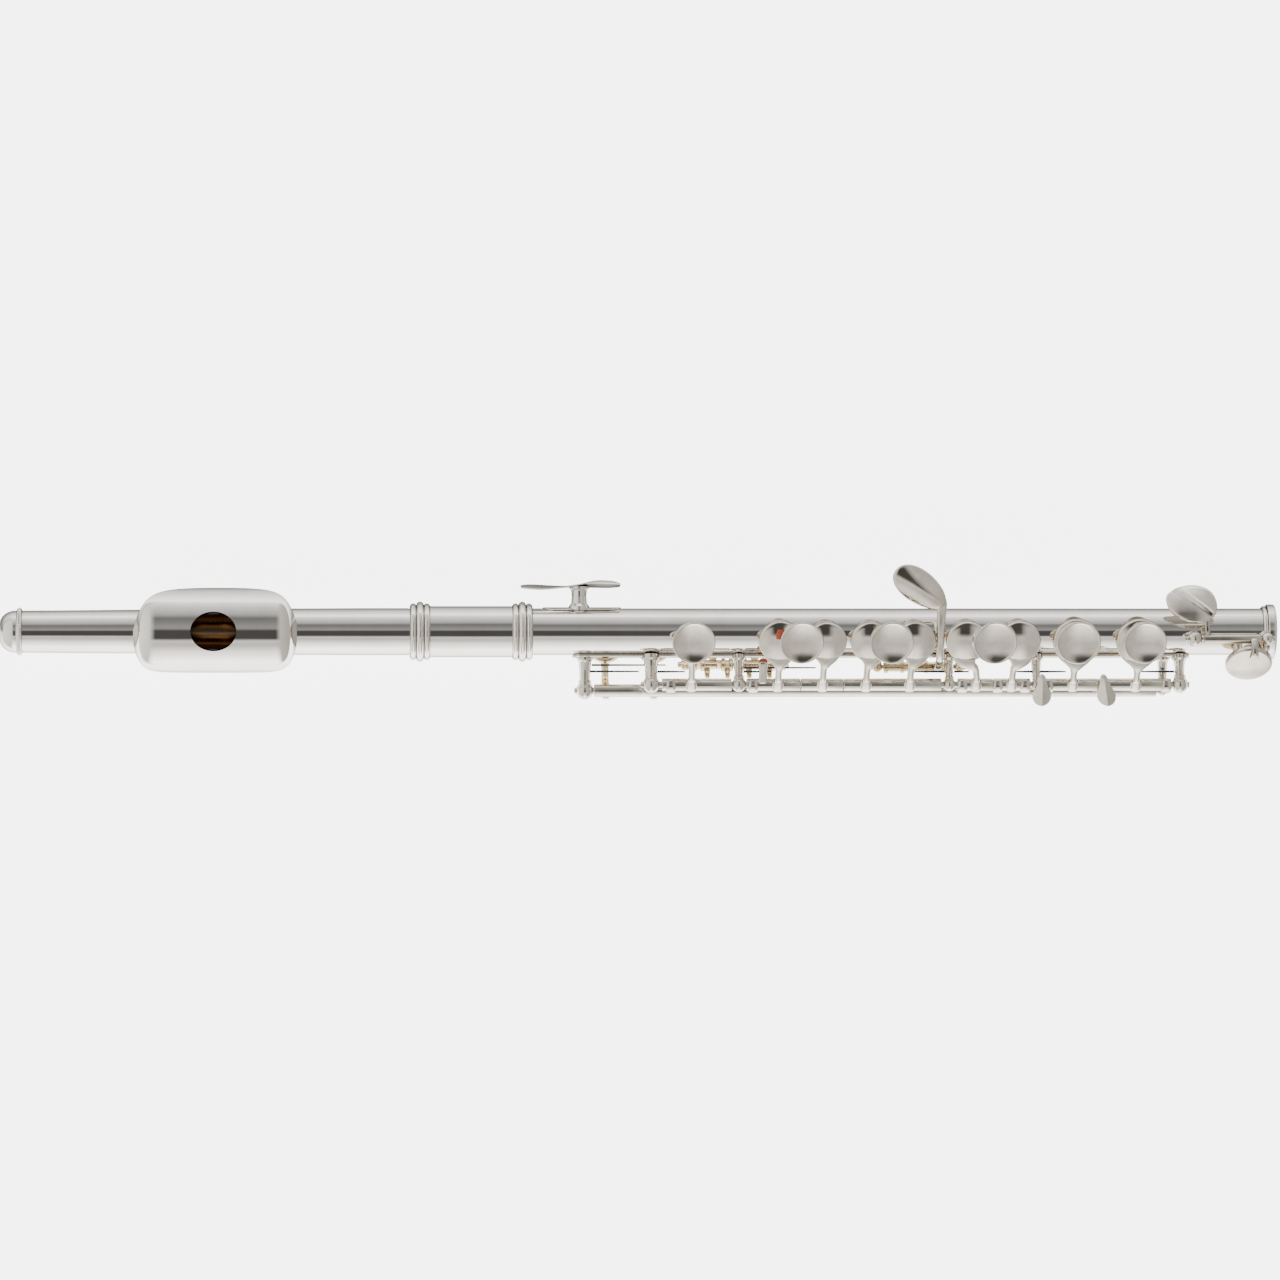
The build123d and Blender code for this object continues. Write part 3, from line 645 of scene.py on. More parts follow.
def make_springs():
    """Fine springs, thickest at the post that holds them. The last number is their distance from the axis."""
    root, tip = 0.3, 0.2
    wires = []
    for start, end, line, height in (
        (-171.9, -153.3, TRILL_LINE, 8.43), (-172.2, -160.0, TRILL_LINE, 10.04),
        (-155.5, -148.6, MAIN_LINE, 10.2), (-133.9, -126.9, MAIN_LINE, 10.2),
        (-133.9, -115.7, MAIN_LINE, 9.2), (-81.0, -77.2, MAIN_LINE, 10.2), (-83.3, -90.9, MAIN_LINE, 10.2),
        (-61.4, -65.2, MAIN_LINE, 10.2), (-59.2, -52.8, MAIN_LINE, 10.2), (-25.4, -33.9, MAIN_LINE, 10.2),
    ):
        share = height / hypot(*line)
        place = on_line((line[0] * share, line[1] * share))
        wires.append(lathe([(start, 0.0), (start, root), (end, tip), (end, 0.0)], place, sides=12))
    piece("spring_wires", joined(*wires), "body", SPRING, ("needle_springs",))


def make_finger_rest():
    """The S-shaped plate, slightly twisted, its waisted post and the strip it is soldered to."""
    across = Vector((0.0, 0.0, 1.0))
    leaf = bar([
        (-189.6, 11.25, 0.0, 3.6, 0.35, radians(12)), (-187.6, 11.25, 0.0, 5.6, 0.5, radians(12)),
        (-184.0, 11.1, 0.0, 6.5, 0.55, radians(10)), (-179.5, 11.2, 0.0, 6.5, 0.55, radians(3)),
        (-175.1, 11.5, 0.0, 6.2, 0.6, radians(-6)), (-171.0, 11.9, 0.0, 6.3, 0.75, radians(-15)),
        (-167.0, 11.85, 0.0, 5.8, 0.7, radians(-16)), (-164.9, 11.65, 0.0, 4.0, 0.45, radians(-12)),
    ], HEAD_FRAME, sides=40, power=2.6, side=across)
    column = Matrix.Translation(Vector((REST_POST, 0.0, 0.0))) @ Matrix(
        ((0, 1, 0, 0), (1, 0, 0, 0), (0, 0, -1, 0), (0, 0, 0, 1)))
    stalk = lathe(rounded(
        [(5.3, 0.0), (5.3, 2.7), (6.4, 2.6), (7.1, 2.0), (8.8, 1.85), (10.4, 2.0), (10.9, 2.5), (11.35, 2.5),
         (11.35, 0.0)], (0, 0.1, 0.35, 0.4, 1.0, 0.5, 0.2, 0.1, 0), 6), HEAD_FRAME @ column, sides=64)
    start, end, curve = -184.2, -164.6, 3.0
    stations = [(start + curve * (1 - cos(radians(a))), sin(radians(a))) for a in range(8, 91, 9)]
    stations += [(end - curve * (1 - cos(radians(a))), sin(radians(a))) for a in range(89, 7, -9)]
    strip = strap(stations, radians(90), radians(26), 0.28, 28, 5.0, HEAD_FRAME)
    piece("finger_rest_form", joined(leaf, stalk, strip), "body", SILVER, ("finger_rest",), crease=50.0)


def make_head():
    outer = [(HEAD_START, 5.25), (-290.0, 5.46), (-250.0, 5.8), (-230.0, 5.9), (HEAD_END, 5.9)]
    inner = [(HEAD_END, BORE_R), (-250.0, 5.35), (-272.0, HEAD_BORE_R), (HEAD_START, HEAD_BORE_R)]
    wall = lathe(outer + inner, HEAD_FRAME, loop=True, sides=128)
    tube = piece("head_wall", wall, "head", SILVER, ("head_tube",))
    oval = [(EMBOUCHURE_X + 5.85 * cos(2 * pi * i / 64), 5.12 * sin(2 * pi * i / 64)) for i in range(64)]
    carve(tube, skin([[(x, y, z) for x, y in oval] for z in (2.3, 12.0)], turn=HEAD_FRAME))
    repaint(tube, INNER_SILVER,
            lambda face: face.normal.dot(Vector((0.0, face.center.y, face.center.z))) < 0)


def lip_outline(angle):
    """The lip plate's edge unrolled, arched on the far side and squarer on the player's side."""
    u = cos(angle)
    v = sin(angle)
    power = 2.4 if v > 0 else 4.2
    reach = (abs(u) ** power + abs(v) ** power) ** (-1 / power)
    wide = 14.6 if v > 0 else 14.4
    skew = 0.9 * max(v, 0.0)
    return LIP_MIDDLE + LIP_HALF * 0.992 * u * reach + skew, wide * v * reach


def lip_hole(angle):
    """The hole's edge, unrolled as the plate is."""
    return EMBOUCHURE_X + HOLE_LONG * cos(angle), LIP_R * asin(HOLE_SHORT * sin(angle) / LIP_OUTER)


def lip_surface(u, v, w):
    """Wraps the unrolled plate round the head: level along most of its length, turned down at its ends."""
    end = min(abs(u - LIP_MIDDLE) / LIP_HALF, 1.0)
    angle = v / LIP_R
    arch = 0.7 * max(0.0, sin(angle)) ** 2
    r = 6.15 + (3.85 + arch) * (1.0 - end ** 14.0) + w
    return u, r * sin(angle), r * cos(angle)


def make_lip():
    bm = plate(lip_outline, lip_surface, 0.8, HEAD_FRAME, rows=40, rim=6, inner=lip_hole)
    piece("lip_plate_form", bm, "head", SILVER, ("lip_plate",), crease=60.0)
    rings = []
    for long, wide, reach in ((HOLE_LONG, 4.6, 9.75), (5.8, 5.1, 5.6), (6.45, 5.75, 5.6), (6.45, 5.75, 9.4)):
        ring = []
        for i in range(96):
            angle = 2 * pi * i / 96
            x, y = long * cos(angle), wide * sin(angle)
            ring.append((EMBOUCHURE_X + x, y, max(reach * reach - y * y, 2.0) ** 0.5))
        rings.append(ring)
    piece("riser_wall", skin(rings, True, HEAD_FRAME), "head", INNER_SILVER, ("embouchure_riser",))


CROWN_BEAD = -314.9


def milled(along, angle):
    """The fine milling on the crown's bead."""
    depth = 0.09 * max(0.0, 1 - abs(along - CROWN_BEAD) / 0.75)
    return depth * cos(64 * angle)


def make_crown():
    profile = [(-320.0, 0.0), (-319.95, 1.6), (-319.7, 2.9), (-319.2, 3.8), (-318.5, 4.45), (-317.6, 4.95),
               (-316.7, 5.2), (-315.85, 5.26), (-315.62, 5.22)]
    profile += arc((CROWN_BEAD, 5.2), 0.74, 175.0, 5.0)
    profile += [(-314.12, 5.1), (-314.12, 4.7), (-309.6, 4.7), (-309.5, 4.5), (-309.5, 0.0)]
    bm = lathe(profile, HEAD_FRAME, sides=384, wobble=milled)
    piece("crown_cap", bm, "crown", SILVER, ("crown",))


# -------- keys


def cup(x, radius, turn, seat=SEAT, dome=0.78):
    """A key cup: a thin shell, its shoulder rounded and its top domed."""
    low, top = seat + CUP_SKIRT, seat + CUP_RISE
    edge = top - 0.22
    profile = [(edge + dome * (1 - (k / 10) ** 2), (radius - 0.55) * k / 10) for k in range(11)]
    profile += arc((edge - 0.5, radius - 0.5), 0.5, 15.0, 90.0, 6)
    profile += rounded([(low + 0.4, radius), (low, radius), (low, radius - 0.38)], (0, 0.15, 0), 4)
    profile += [(seat + 1.55, radius - 0.4), (seat + 1.55, 0.0)]
    return lathe(profile, at(x, turn) @ UPRIGHT, sides=96)


def pad(x, radius, turn, seat=SEAT):
    """A pad: skin over felt, its edge rounded and its face level but for the ring that the rim presses."""
    r = radius - 0.42
    profile = rounded(
        [(seat + 1.5, 0.0), (seat + 1.5, r), (seat + 0.05, r), (seat + 0.12, r - 1.0), (seat + 0.12, 0.0)],
        (0, 0.1, 0.5, 0.4, 0), 6)
    return lathe(profile, at(x, turn) @ UPRIGHT, sides=72)


def dished(x, y, radius, under=9.75, thick=0.85, dish=0.58):
    """A finger disc: a rolled rim round a shallow hollow."""
    top, roll = under + thick, 0.24
    profile = rounded([(under, 0.0), (under, radius - 0.5), (top - roll, radius)], (0, 0.4, 0), 4)
    profile += arc((top - roll, radius - roll), roll, 75.0, -50.0, 9)
    level, edge = profile[-1]
    for k in range(1, 14):
        share = 1 - k / 13
        profile.append((level - dish * (1 - share * share), edge * share))
    return lathe(profile, standing(x, y), sides=96)


def hinge_tube(start, end, radius, line, bore=0.85):
    corners = [(start, radius), (end, radius), (end, bore), (start, bore)]
    profile = rounded(corners, (0.14, 0.14, 0, 0), 3, True)
    return lathe(profile, on_line(line), True, 48)


def over(turn, height, across=0.0):
    """(y, z) at a height over a tone hole and a distance across it."""
    angle = radians(turn)
    return -height * sin(angle) + across * cos(angle), height * cos(angle) + across * sin(angle)


def bead(x, y, z, radius):
    return lathe(arc((0.0, 0.0), radius, 180.0, 0.0, 16), Matrix.Translation(Vector((x, y, z))), sides=32)


def key_arm(place, cup_place, radius):
    """The arm of a main key: it leaves the cup in a V, necks down and ends in a flared foot on the tube."""
    y, z = MAIN_LINE
    lean = cup_place - place
    return bar([
        (cup_place, -radius + 1.5, 8.3, radius * 1.45, 1.2),
        (cup_place - lean * 0.08, -radius + 0.35, 8.3, radius * 1.05, 1.45),
        (cup_place - lean * 0.4, -radius - 0.9, 8.25, radius * 0.56, 1.5),
        (cup_place - lean * 0.85, -radius - 2.1, 7.95, 1.75, 1.45),
        (place, (y - radius) * 0.5 - 1.4, 7.35, 1.7, 1.35),
        (place, y + 1.7, 6.75, 2.4, 1.4),
        (place, y + 0.3, 6.45, 2.9, 1.1),
        (place, y - 1.0, 5.95, 2.5, 0.9),
        (place, y - 1.75, 5.05, 1.3, 0.6),
        (place, y - 1.9, 4.3, 0.7, 0.35),
    ], steps=5, sides=28, power=2.9)


def lug(x):
    """A small rounded lug over a main hinge tube."""
    y, z = MAIN_LINE
    return bar([
        (x, y + 1.3, z + 1.2, 2.0, 0.7), (x, y - 0.2, z + 1.7, 2.5, 0.9), (x, y - 1.6, z + 0.5, 2.4, 0.9),
        (x, y - 1.7, z - 0.6, 1.6, 0.6),
    ], steps=5, sides=24, power=2.6)


def collar(x, line, radius=1.65):
    half = 0.5
    return hinge_tube(x - half, x + half, radius, line, 1.0)


# Main keys: name, start and end of the hinge tube, and each cup's place, radius and place of its arm
MAIN_KEYS = [
    ("c", -154.4, -137.0, [(-147.6, 4.4, -147.1)]),
    ("b_flat", -133.2, -119.75, [(-125.2, 5.4, -125.4)]),
    ("a", -119.6, -108.95, [(-113.6, 5.1, -114.2)]),
    ("g", -108.8, -84.3, [(-102.5, 5.15, -103.3), (-91.4, 5.2, -92.3)]),
    ("f_sharp", -80.2, -71.3, [(-78.4, 5.3, -75.6)]),
    ("f", -71.15, -61.9, [(-65.3, 5.4, -66.7)]),
    ("e", -58.7, -44.95, [(-51.0, 5.9, -51.3)]),
    ("d", -44.8, -26.4, [(-35.1, 5.95, -35.4)]),
]
# The place of the B flat key's tongue, which has a felt button, and of the lugs along each key's tube
TONGUE = -129.2
LUGS = {
    "c": [-152.2], "b_flat": [-131.6], "f_sharp": [-79.0], "f": [-70.1, -63.2], "e": [-57.4], "d": [-27.6],
}

# Finger discs: key, place, radius, place of the stem
TOUCHES = [
    ("c", -146.85, 5.4, -146.9), ("a", -119.9, 5.45, -115.8), ("g", -97.4, 5.45, -93.8),
    ("f", -71.55, 5.5, -68.2), ("e", -50.6, 5.55, -50.4), ("d", -33.9, 5.4, -34.0),
]
TOUCH_Y = 0.4


def make_main_keys():
    swing = turn_about(MAIN_LINE, KEY_OPEN)
    for name, start, end, cups in MAIN_KEYS:
        shapes = [hinge_tube(start, end, KEY_TUBE_R, MAIN_LINE)]
        pads = []
        for x, radius, arm_place in cups:
            shapes += [cup(x, radius, 0.0), key_arm(arm_place, x, radius)]
            pads.append(pad(x, radius, 0.0))
        shapes += [lug(x) for x in LUGS.get(name, ())]
        if name == "b_flat":
            shapes.append(bar([(TONGUE, -11.4, 6.2, 2.4, 1.0), (TONGUE, -9.0, 6.2, 2.0, 0.8),
                               (TONGUE, -6.4, 6.0, 2.4, 0.7)], steps=5, sides=24, power=2.8))
        for shape in shapes + pads:
            shape.transform(swing)
        body = name + "_key"
        piece(name + "_key_form", joined(*shapes), body, KEY_SILVER, (name + "_key",))
        piece(name + "_pad_form", joined(*pads), body, PAD, (name + "_pad",))
    for name, x, radius, stem in TOUCHES:
        profile = rounded([(SEAT + CUP_RISE - 0.2, 1.7), (9.3, 1.25), (9.9, 1.6)], (0, 0.5, 0), 5)
        post_form = lathe(profile, standing(stem, 0.0), sides=32)
        shape = joined(dished(x, TOUCH_Y, radius), post_form)
        shape.transform(swing)
        piece(name + "_touch_form", shape, name + "_key", KEY_SILVER, (name + "_touch",))
    strip = bar([
        (-126.0, 2.3, 9.3, 2.6, 0.6), (-123.2, 1.8, 9.35, 3.4, 0.65), (-120.3, 1.4, 9.35, 3.4, 0.65),
    ], steps=4, sides=24, power=4.0, side=Vector((0.0, 1.0, 0.0)))
    button = lathe([(5.0, 1.15), (5.75, 1.15)], standing(TONGUE, -6.6), sides=32)
    felt = joined(strip, button)
    felt.transform(swing)
    piece("b_flat_felt_form", felt, "b_flat_key", FELT, ("b_flat_felt",))


def trill_arm(x, radius, turn):
    """From a bulb under the hinge tube, round the body to a cup underneath."""
    y, z = TRILL_LINE
    cup_y, cup_z = over(turn, SEAT + 1.7, -radius * 0.55)
    return joined(bar([
        (x, y - 0.9, z - 1.0, 1.9, 1.3), (x, y - 0.2, z - 2.6, 2.5, 1.6), (x, y + 1.6, z - 5.6, 1.9, 1.4),
        (x, y + 5.8, z - 7.9, 2.1, 1.3), (x, cup_y, cup_z, 4.2, 1.2),
    ], sides=24, power=2.6), bead(x, y - 1.25, z - 1.2, 1.28))


def polar_edge(hub, radii):
    """An outline for plate() from (angle in degrees, radius) pairs round a hub, smoothed between them."""
    table = smooth_path(radii, 8)

    def edge(angle):
        if angle is None:
            return hub
        turn = (angle * 180 / pi + 90) % 360 - 90
        for low, high in zip(table, table[1:]):
            if low[0] <= turn <= high[0] and high[0] > low[0]:
                share = (turn - low[0]) / (high[0] - low[0])
                radius = low[1] + (high[1] - low[1]) * share
                break
        else:
            radius = table[-1][1]
        return hub[0] + radius * cos(angle), hub[1] + radius * sin(angle)

    return edge


def wedge(x, lean):
    """A trill touch: narrow at its inner end, wide and round towards the player, with a ridge along it."""
    radii = [(-90, 2.95), (-60, 2.85), (-30, 2.4), (0, 1.95), (30, 1.75), (60, 2.3), (80, 3.9), (90, 4.3),
             (100, 3.9), (120, 2.3), (150, 1.75), (180, 1.95), (210, 2.4), (240, 2.85), (270, 2.95)]
    edge = polar_edge((0.0, 3.4), radii)

    def surface(u, v, w):
        ridge = 1.6 * max(0.0, 1 - abs(u) / 2.6) * min(1.0, (8.2 - v) / 2.5)
        droop = 0.05 * max(0.0, 2.6 - v) ** 2
        return x + u + lean * (v - 3.4), -17.35 + v, 7.75 + w + ridge - droop

    return plate(edge, surface, 0.8)


def touch_foot(x):
    """The short arm under a trill touch."""
    y, z = TRILL_LINE
    return bar([(x, y, z + 1.0, 1.7, 1.2), (x, y - 1.6, z + 2.6, 1.6, 1.2), (x, y - 1.1, z + 6.3, 1.9, 1.4)],
               steps=5, sides=20, power=2.8)


# Trill keys: name, places of the cup and the touch, lean of the touch, and the spans of the hinge tubes
TRILL_TURN, TRILL_CUP_R = 138.5, 4.3
TRILLS = [
    ("trill_d_sharp", -168.3, -43.1, -0.16, [(-171.3, -159.1), (-57.8, -29.7)]),
    ("trill_d", -156.2, -59.2, 0.0, [(-158.9, -58.0)]),
]


def make_trill_keys():
    for name, cup_x, touch_x, lean, tubes in TRILLS:
        shapes = [hinge_tube(start, end, TRILL_TUBE_R, TRILL_LINE) for start, end in tubes]
        if len(tubes) > 1:
            shapes.append(rod(-174.9, -27.5, STEEL_R, TRILL_LINE))
        shapes.append(cup(cup_x, TRILL_CUP_R, radians(TRILL_TURN)))
        shapes += [trill_arm(cup_x, TRILL_CUP_R, TRILL_TURN), touch_foot(touch_x)]
        disc = pad(cup_x, TRILL_CUP_R, radians(TRILL_TURN))
        body = name + "_key"
        made = piece(name + "_key_form", joined(*shapes), body, KEY_SILVER, (name + "_key",))
        # Painted reflection: the trill key's faces low on the body get the warm, darker silver.
        paint_warm_reflection(made, -0.3)
        piece(name + "_touch_form", wedge(touch_x, lean), body, KEY_SILVER, (name + "_touch",), crease=20.0)
        piece(name + "_pad_form", disc, body, PAD, (name + "_pad",))


# The G sharp cup (place, radius and turn) and its lever's leaf (middle, half length and half width)
G_SHARP_CUP = (-96.6, 4.7, 146.0)
LEAF_MIDDLE, LEAF_LONG, LEAF_WIDE = (-90.4, 13.0), 7.2, 3.8


def spoon(u, v, w):
    """The G sharp lever's leaf: (u, v) along and across it, softly domed across."""
    slope = radians(-36)
    taper = 1.0 - 0.1 * u / LEAF_LONG
    crown = 1.25 * (1 - min(abs(v) / 4.0, 1.0) ** 2) * (1 - 0.35 * (u / 7.4) ** 2)
    x = LEAF_MIDDLE[0] + u * cos(slope) - v * taper * sin(slope)
    y = LEAF_MIDDLE[1] + u * sin(slope) + v * taper * cos(slope)
    return x, y, 8.0 + crown + w


def leaf_edge(angle):
    if angle is None:
        return 0.0, 0.0
    c, s = squircle(angle, 2.15)
    return LEAF_LONG * c, LEAF_WIDE * s


def make_g_sharp_key():
    y, z = G_SHARP_LINE
    x, radius, turn = G_SHARP_CUP
    cup_y, cup_z = over(turn, SEAT + 1.7, -radius * 0.5)
    arm = bar([(x, y, z, 2.2, 1.4), (x, -8.9, -4.2, 2.0, 1.3), (x, cup_y, cup_z, 2.8, 1.2)],
              steps=7, sides=24, power=2.8)
    lever = bar([
        (-85.1, y, z - 0.4, 2.6, 1.4), (-85.0, y + 0.7, z + 4.2, 2.0, 1.25), (-84.95, -5.8, 7.0, 1.9, 1.15),
        (-84.95, -3.0, 8.1, 1.9, 1.1), (-84.9, 2.0, 8.35, 2.05, 1.1), (-84.8, 6.0, 8.35, 2.3, 1.15),
        (-84.9, 8.9, 8.4, 2.9, 1.2), (-86.2, 11.1, 8.6, 3.8, 1.0),
    ], sides=24, power=2.8)
    tube = hinge_tube(-98.4, -80.8, SMALL_TUBE_R, G_SHARP_LINE, SMALL_BORE)
    shapes = [tube, cup(x, radius, radians(turn)), arm, lever]
    shapes += [collar(place, G_SHARP_LINE, 1.55) for place in (-97.7, -93.6, -91.0, -87.6, -82.6)]
    # Painted reflection: the G sharp key's faces low on the body get the warm, darker silver.
    paint_warm_reflection(piece("g_sharp_key_form", joined(*shapes), "g_sharp_key", KEY_SILVER, ("g_sharp_key",)), 1.2)
    piece("g_sharp_leaf", plate(leaf_edge, spoon, 0.8, rows=14, rim=6), "g_sharp_key", KEY_SILVER,
          ("g_sharp_spoon",))
    disc = pad(x, radius, radians(turn))
    piece("g_sharp_pad_form", disc, "g_sharp_key", PAD, ("g_sharp_pad",))


def shell(u, v, w):
    """The foot key's touch: (u, v) on its plate, domed, with a ridge that runs on into its arm."""
    dome = 0.95 * max(0.0, 1 - ((u + 21.2) / 7.0) ** 2 - ((v - 4.9) / 5.6) ** 2)
    off = (u + 21.0) * 0.62 + (v - 5.4) * 0.78
    ridge = 0.42 * max(0.0, 1 - abs(off) / 0.85)
    tilt = Matrix.Rotation(radians(-38), 3, "X")
    return tilt @ Vector((u, v, 0.35 + dome + ridge + w)) + Vector((0.0, 3.9, 8.2))


def make_foot_key():
    y, z = FOOT_LINE
    x, radius, turn = FOOT_CUP
    top = FOOT_SEAT + CUP_RISE
    over_edge, over_cup = over(turn, top + 0.25, radius - 0.5), over(turn, top + 0.15, radius - 2.9)
    arm = bar([
        (-6.3, y + 0.3, z - 0.3, 2.2, 1.2), (-6.3, y - 0.5, z + 1.4, 1.8, 1.1), (-6.3, *over_edge, 1.7, 1.1),
        (-6.3, *over_cup, 2.4, 0.6),
    ], sides=24, power=2.8)
    stem = bar([
        (-18.0, y - 0.2, z - 0.5, 1.7, 1.2), (-18.0, 2.0, 9.3, 1.5, 1.1), (-18.1, 4.4, 8.8, 1.6, 1.1),
    ], sides=24, power=2.8)
    tube = hinge_tube(-18.9, -4.7, SMALL_TUBE_R, FOOT_LINE, SMALL_BORE)
    shapes = [tube, cup(x, radius, radians(turn), FOOT_SEAT, 0.16), arm, stem]
    # The foot key's cup, arm and stem are the darker silver: painted shade.
    piece("foot_key_form", joined(*shapes), "foot_key", SHADE_SILVER, ("foot_key",))
    edge = polar_edge((-21.0, 4.9), [
        (-90, 4.6), (-60, 4.9), (-35, 5.4), (-10, 5.3), (20, 5.2), (45, 5.2), (70, 5.0), (90, 5.0),
        (115, 5.3), (140, 6.1), (160, 6.9), (180, 6.5), (205, 5.8), (235, 4.9), (270, 4.6),
    ])
    disc = pad(x, radius, radians(turn), FOOT_SEAT)
    piece("foot_shell", plate(edge, shell, 0.9, rows=18, rim=6), "foot_key", KEY_SILVER, ("foot_touch",))
    piece("foot_pad_form", disc, "foot_key", PAD, ("foot_pad",))


# Thumb keys: name, place and radius of the cup, half width of the plate, start and end of the hinge tube
THUMBS = [
    ("thumb", -141.0, 4.1, 4.4, -146.2, -135.9), ("thumb_b_flat", -130.4, 4.0, 3.9, -135.7, -125.4),
]
THUMB_REACH = 4.95


def thumb_plate(x, wide):
    """The oval that the left thumb rests on, slightly hollowed."""
    def edge(angle):
        if angle is None:
            return 0.0, 0.0
        c, s = squircle(angle, 2.3)
        return wide * c, THUMB_REACH * s

    def surface(u, v, w):
        hollow = 0.3 * (1 - min(1.0, (u / wide) ** 2 + (v / THUMB_REACH) ** 2))
        return x + u, -2.0 + v, -9.9 + hollow + w

    return plate(edge, surface, 0.75)


def hook(x, side):
    """A small hook on a thumb key's hinge tube: side 1 is over the tube, -1 on the player's side of it."""
    y, z = THUMB_LINE
    if side > 0:
        offsets = [(-0.4, 0.9, 1.5, 0.9), (-0.3, 2.3, 1.2, 0.8), (0.9, 3.2, 1.0, 0.7)]
    else:
        offsets = [(-0.7, 0.3, 1.7, 1.0), (-2.1, 0.8, 1.4, 0.9), (-2.9, 2.0, 1.2, 0.7)]
    path = [(x, y + across, z + up, wide, high) for across, up, wide, high in offsets]
    return bar(path, steps=5, sides=16, power=2.6)


def make_thumb_keys():
    swing = turn_about(THUMB_LINE, THUMB_OPEN)
    y, z = THUMB_LINE
    for name, x, radius, wide, start, end in THUMBS:
        cup_y, cup_z = over(180.0, SEAT + 1.5, radius * 0.7)
        arm = bar([
            (x, y - 0.2, z + 0.6, 2.2, 1.2), (x, y + 1.6, z - 1.4, 2.0, 1.2), (x, cup_y, cup_z, 2.8, 1.1),
        ], sides=24, power=2.8)
        tube = hinge_tube(start, end, SMALL_TUBE_R, THUMB_LINE, SMALL_BORE)
        shape = joined(tube, cup(x, radius, pi, SEAT, 0.2), arm)
        collars = [collar(place, THUMB_LINE) for place in (start + 0.6, x - 2.6, x + 2.6, end - 0.6)]
        hooks = [hook(x - 3.7, 1), hook(x + 1.4, 1), hook(x - 1.5, -1), hook(x + 3.6, -1)]
        shape = joined(shape, *collars, *hooks)
        stem = lathe([(-9.6, 1.6), (-8.8, 1.3)], standing(x, -1.0), sides=24)
        touch = joined(thumb_plate(x, wide), stem)
        disc = pad(x, radius, pi)
        for part in (shape, touch, disc):
            part.transform(swing)
        body = name + "_key"
        # The thumb keys' key and touch carry the painted warm reflection.
        piece(name + "_key_form", shape, body, PAINTED_REFLECTION_SILVER, (name + "_key",))
        piece(name + "_touch_form", touch, body, PAINTED_REFLECTION_SILVER, (name + "_touch",))
        piece(name + "_pad_form", disc, body, PAD, (name + "_pad",))


for make in (
    make_tube, make_chimneys, make_barrel, make_foot, make_rib, make_posts, make_steels, make_springs,
    make_finger_rest, make_head, make_lip, make_crown, make_main_keys, make_trill_keys, make_g_sharp_key,
    make_foot_key, make_thumb_keys,
):
    make()

# -------- camera and light

AIM = Vector((-159.8, 0.0, 0.0)) * MM
VIEW_YAW = radians(2.5)
DISTANCE = 1.65
FRAME_WIDTH = 321.0 * MM
SENSOR = 36.0


def make_camera():
    data = bpy.data.cameras.new("camera")
    camera = show("camera", data)
    turn = Matrix.Rotation(-VIEW_TILT, 4, "X") @ Matrix.Rotation(-VIEW_YAW, 4, "Y")
    target = AIM + Matrix.Rotation(-VIEW_TILT, 3, "X") @ Vector((0.0, -2.1 * MM, 0.0))
    camera.matrix_world = Matrix.Translation(target + turn @ Vector((0.0, 0.0, DISTANCE))) @ turn
    data.sensor_width = SENSOR
    data.lens = SENSOR * DISTANCE / FRAME_WIDTH
    data.clip_end = 20.0
    bpy.context.scene.camera = camera


# The middle of the tube (mm), and the floor's brightness by distance (mm) from under the tube, the far
# side being positive. The dip just past the tube on the far side is a painted shadow of the tube.
# Past the ends of the tube the floor is darker.
MIDDLE = -160.0
FLOOR_REACH = 120.0
FLOOR_STRENGTH = 4.6
FLOOR_SEEN = 5.0
FLOOR_GLOW_AND_PAINTED_SHADOW = [
    (-120, 0.85), (-28, 0.95), (-8, 0.62), (-3, 0.56), (0, 0.22), (4, 0.08), (12, 0.13), (24, 0.28),
    (59, 0.43), (120, 0.5),
]


def make_floor():
    mesh = bpy.data.meshes.new("floor")
    half = 6.0
    low = cad_box[0][2] - 0.0002
    mesh.from_pydata([(-half, -half, low), (half, -half, low), (half, half, low), (-half, half, low)], [],
                     [(0, 1, 2, 3)])
    floor = show("floor", mesh)
    n = Nodes("floor_paper", rough=0.9)
    n.colour(n.ramp(n.noise(30.0), [(0.3, (0.93, 0.93, 0.93)), (0.7, (0.95, 0.95, 0.95))]))
    # The camera sees plain lit paper. Reflections see a graded glow instead, by distance from the tube, with a
    # painted shadow of the tube on its far side.
    place = n.add("SeparateXYZ")
    n.link(n.add("TexCoord").outputs["Object"], place.inputs[0])
    across = n.span(place.outputs["Y"], -FLOOR_REACH * MM, FLOOR_REACH * MM, 0.0, 1.0)
    stops = [(0.5 + y / (2 * FLOOR_REACH), (level, level, level * 0.98)) for y, level in FLOOR_GLOW_AND_PAINTED_SHADOW]
    glow_and_painted_shadow = n.add("Emission")
    n.link(n.ramp(across, stops), glow_and_painted_shadow.inputs["Color"])
    from_middle = n.add("Math", operation="ADD")
    n.link(place.outputs["X"], from_middle.inputs[0])
    from_middle.inputs[1].default_value = -MIDDLE * MM
    beyond = n.add("Math", operation="ABSOLUTE")
    n.link(from_middle.outputs[0], beyond.inputs[0])
    ends = n.span(beyond.outputs[0], -MIDDLE * MM, -MIDDLE * MM * 1.5, FLOOR_STRENGTH, FLOOR_STRENGTH * 0.4)
    n.link(ends, glow_and_painted_shadow.inputs["Strength"])
    seen = n.add("Emission")
    seen.inputs["Strength"].default_value = FLOOR_SEEN
    with_paper = n.add("AddShader")
    n.link(n.shader.outputs[0], with_paper.inputs[0])
    n.link(seen.outputs[0], with_paper.inputs[1])
    choose = n.add("MixShader")
    n.link(n.add("LightPath").outputs["Is Camera Ray"], choose.inputs["Fac"])
    n.link(glow_and_painted_shadow.outputs[0], choose.inputs[1])
    n.link(with_paper.outputs[0], choose.inputs[2])
    n.link(choose.outputs[0], n.tree.nodes["Material Output"].inputs["Surface"])
    mesh.materials.append(n.material)


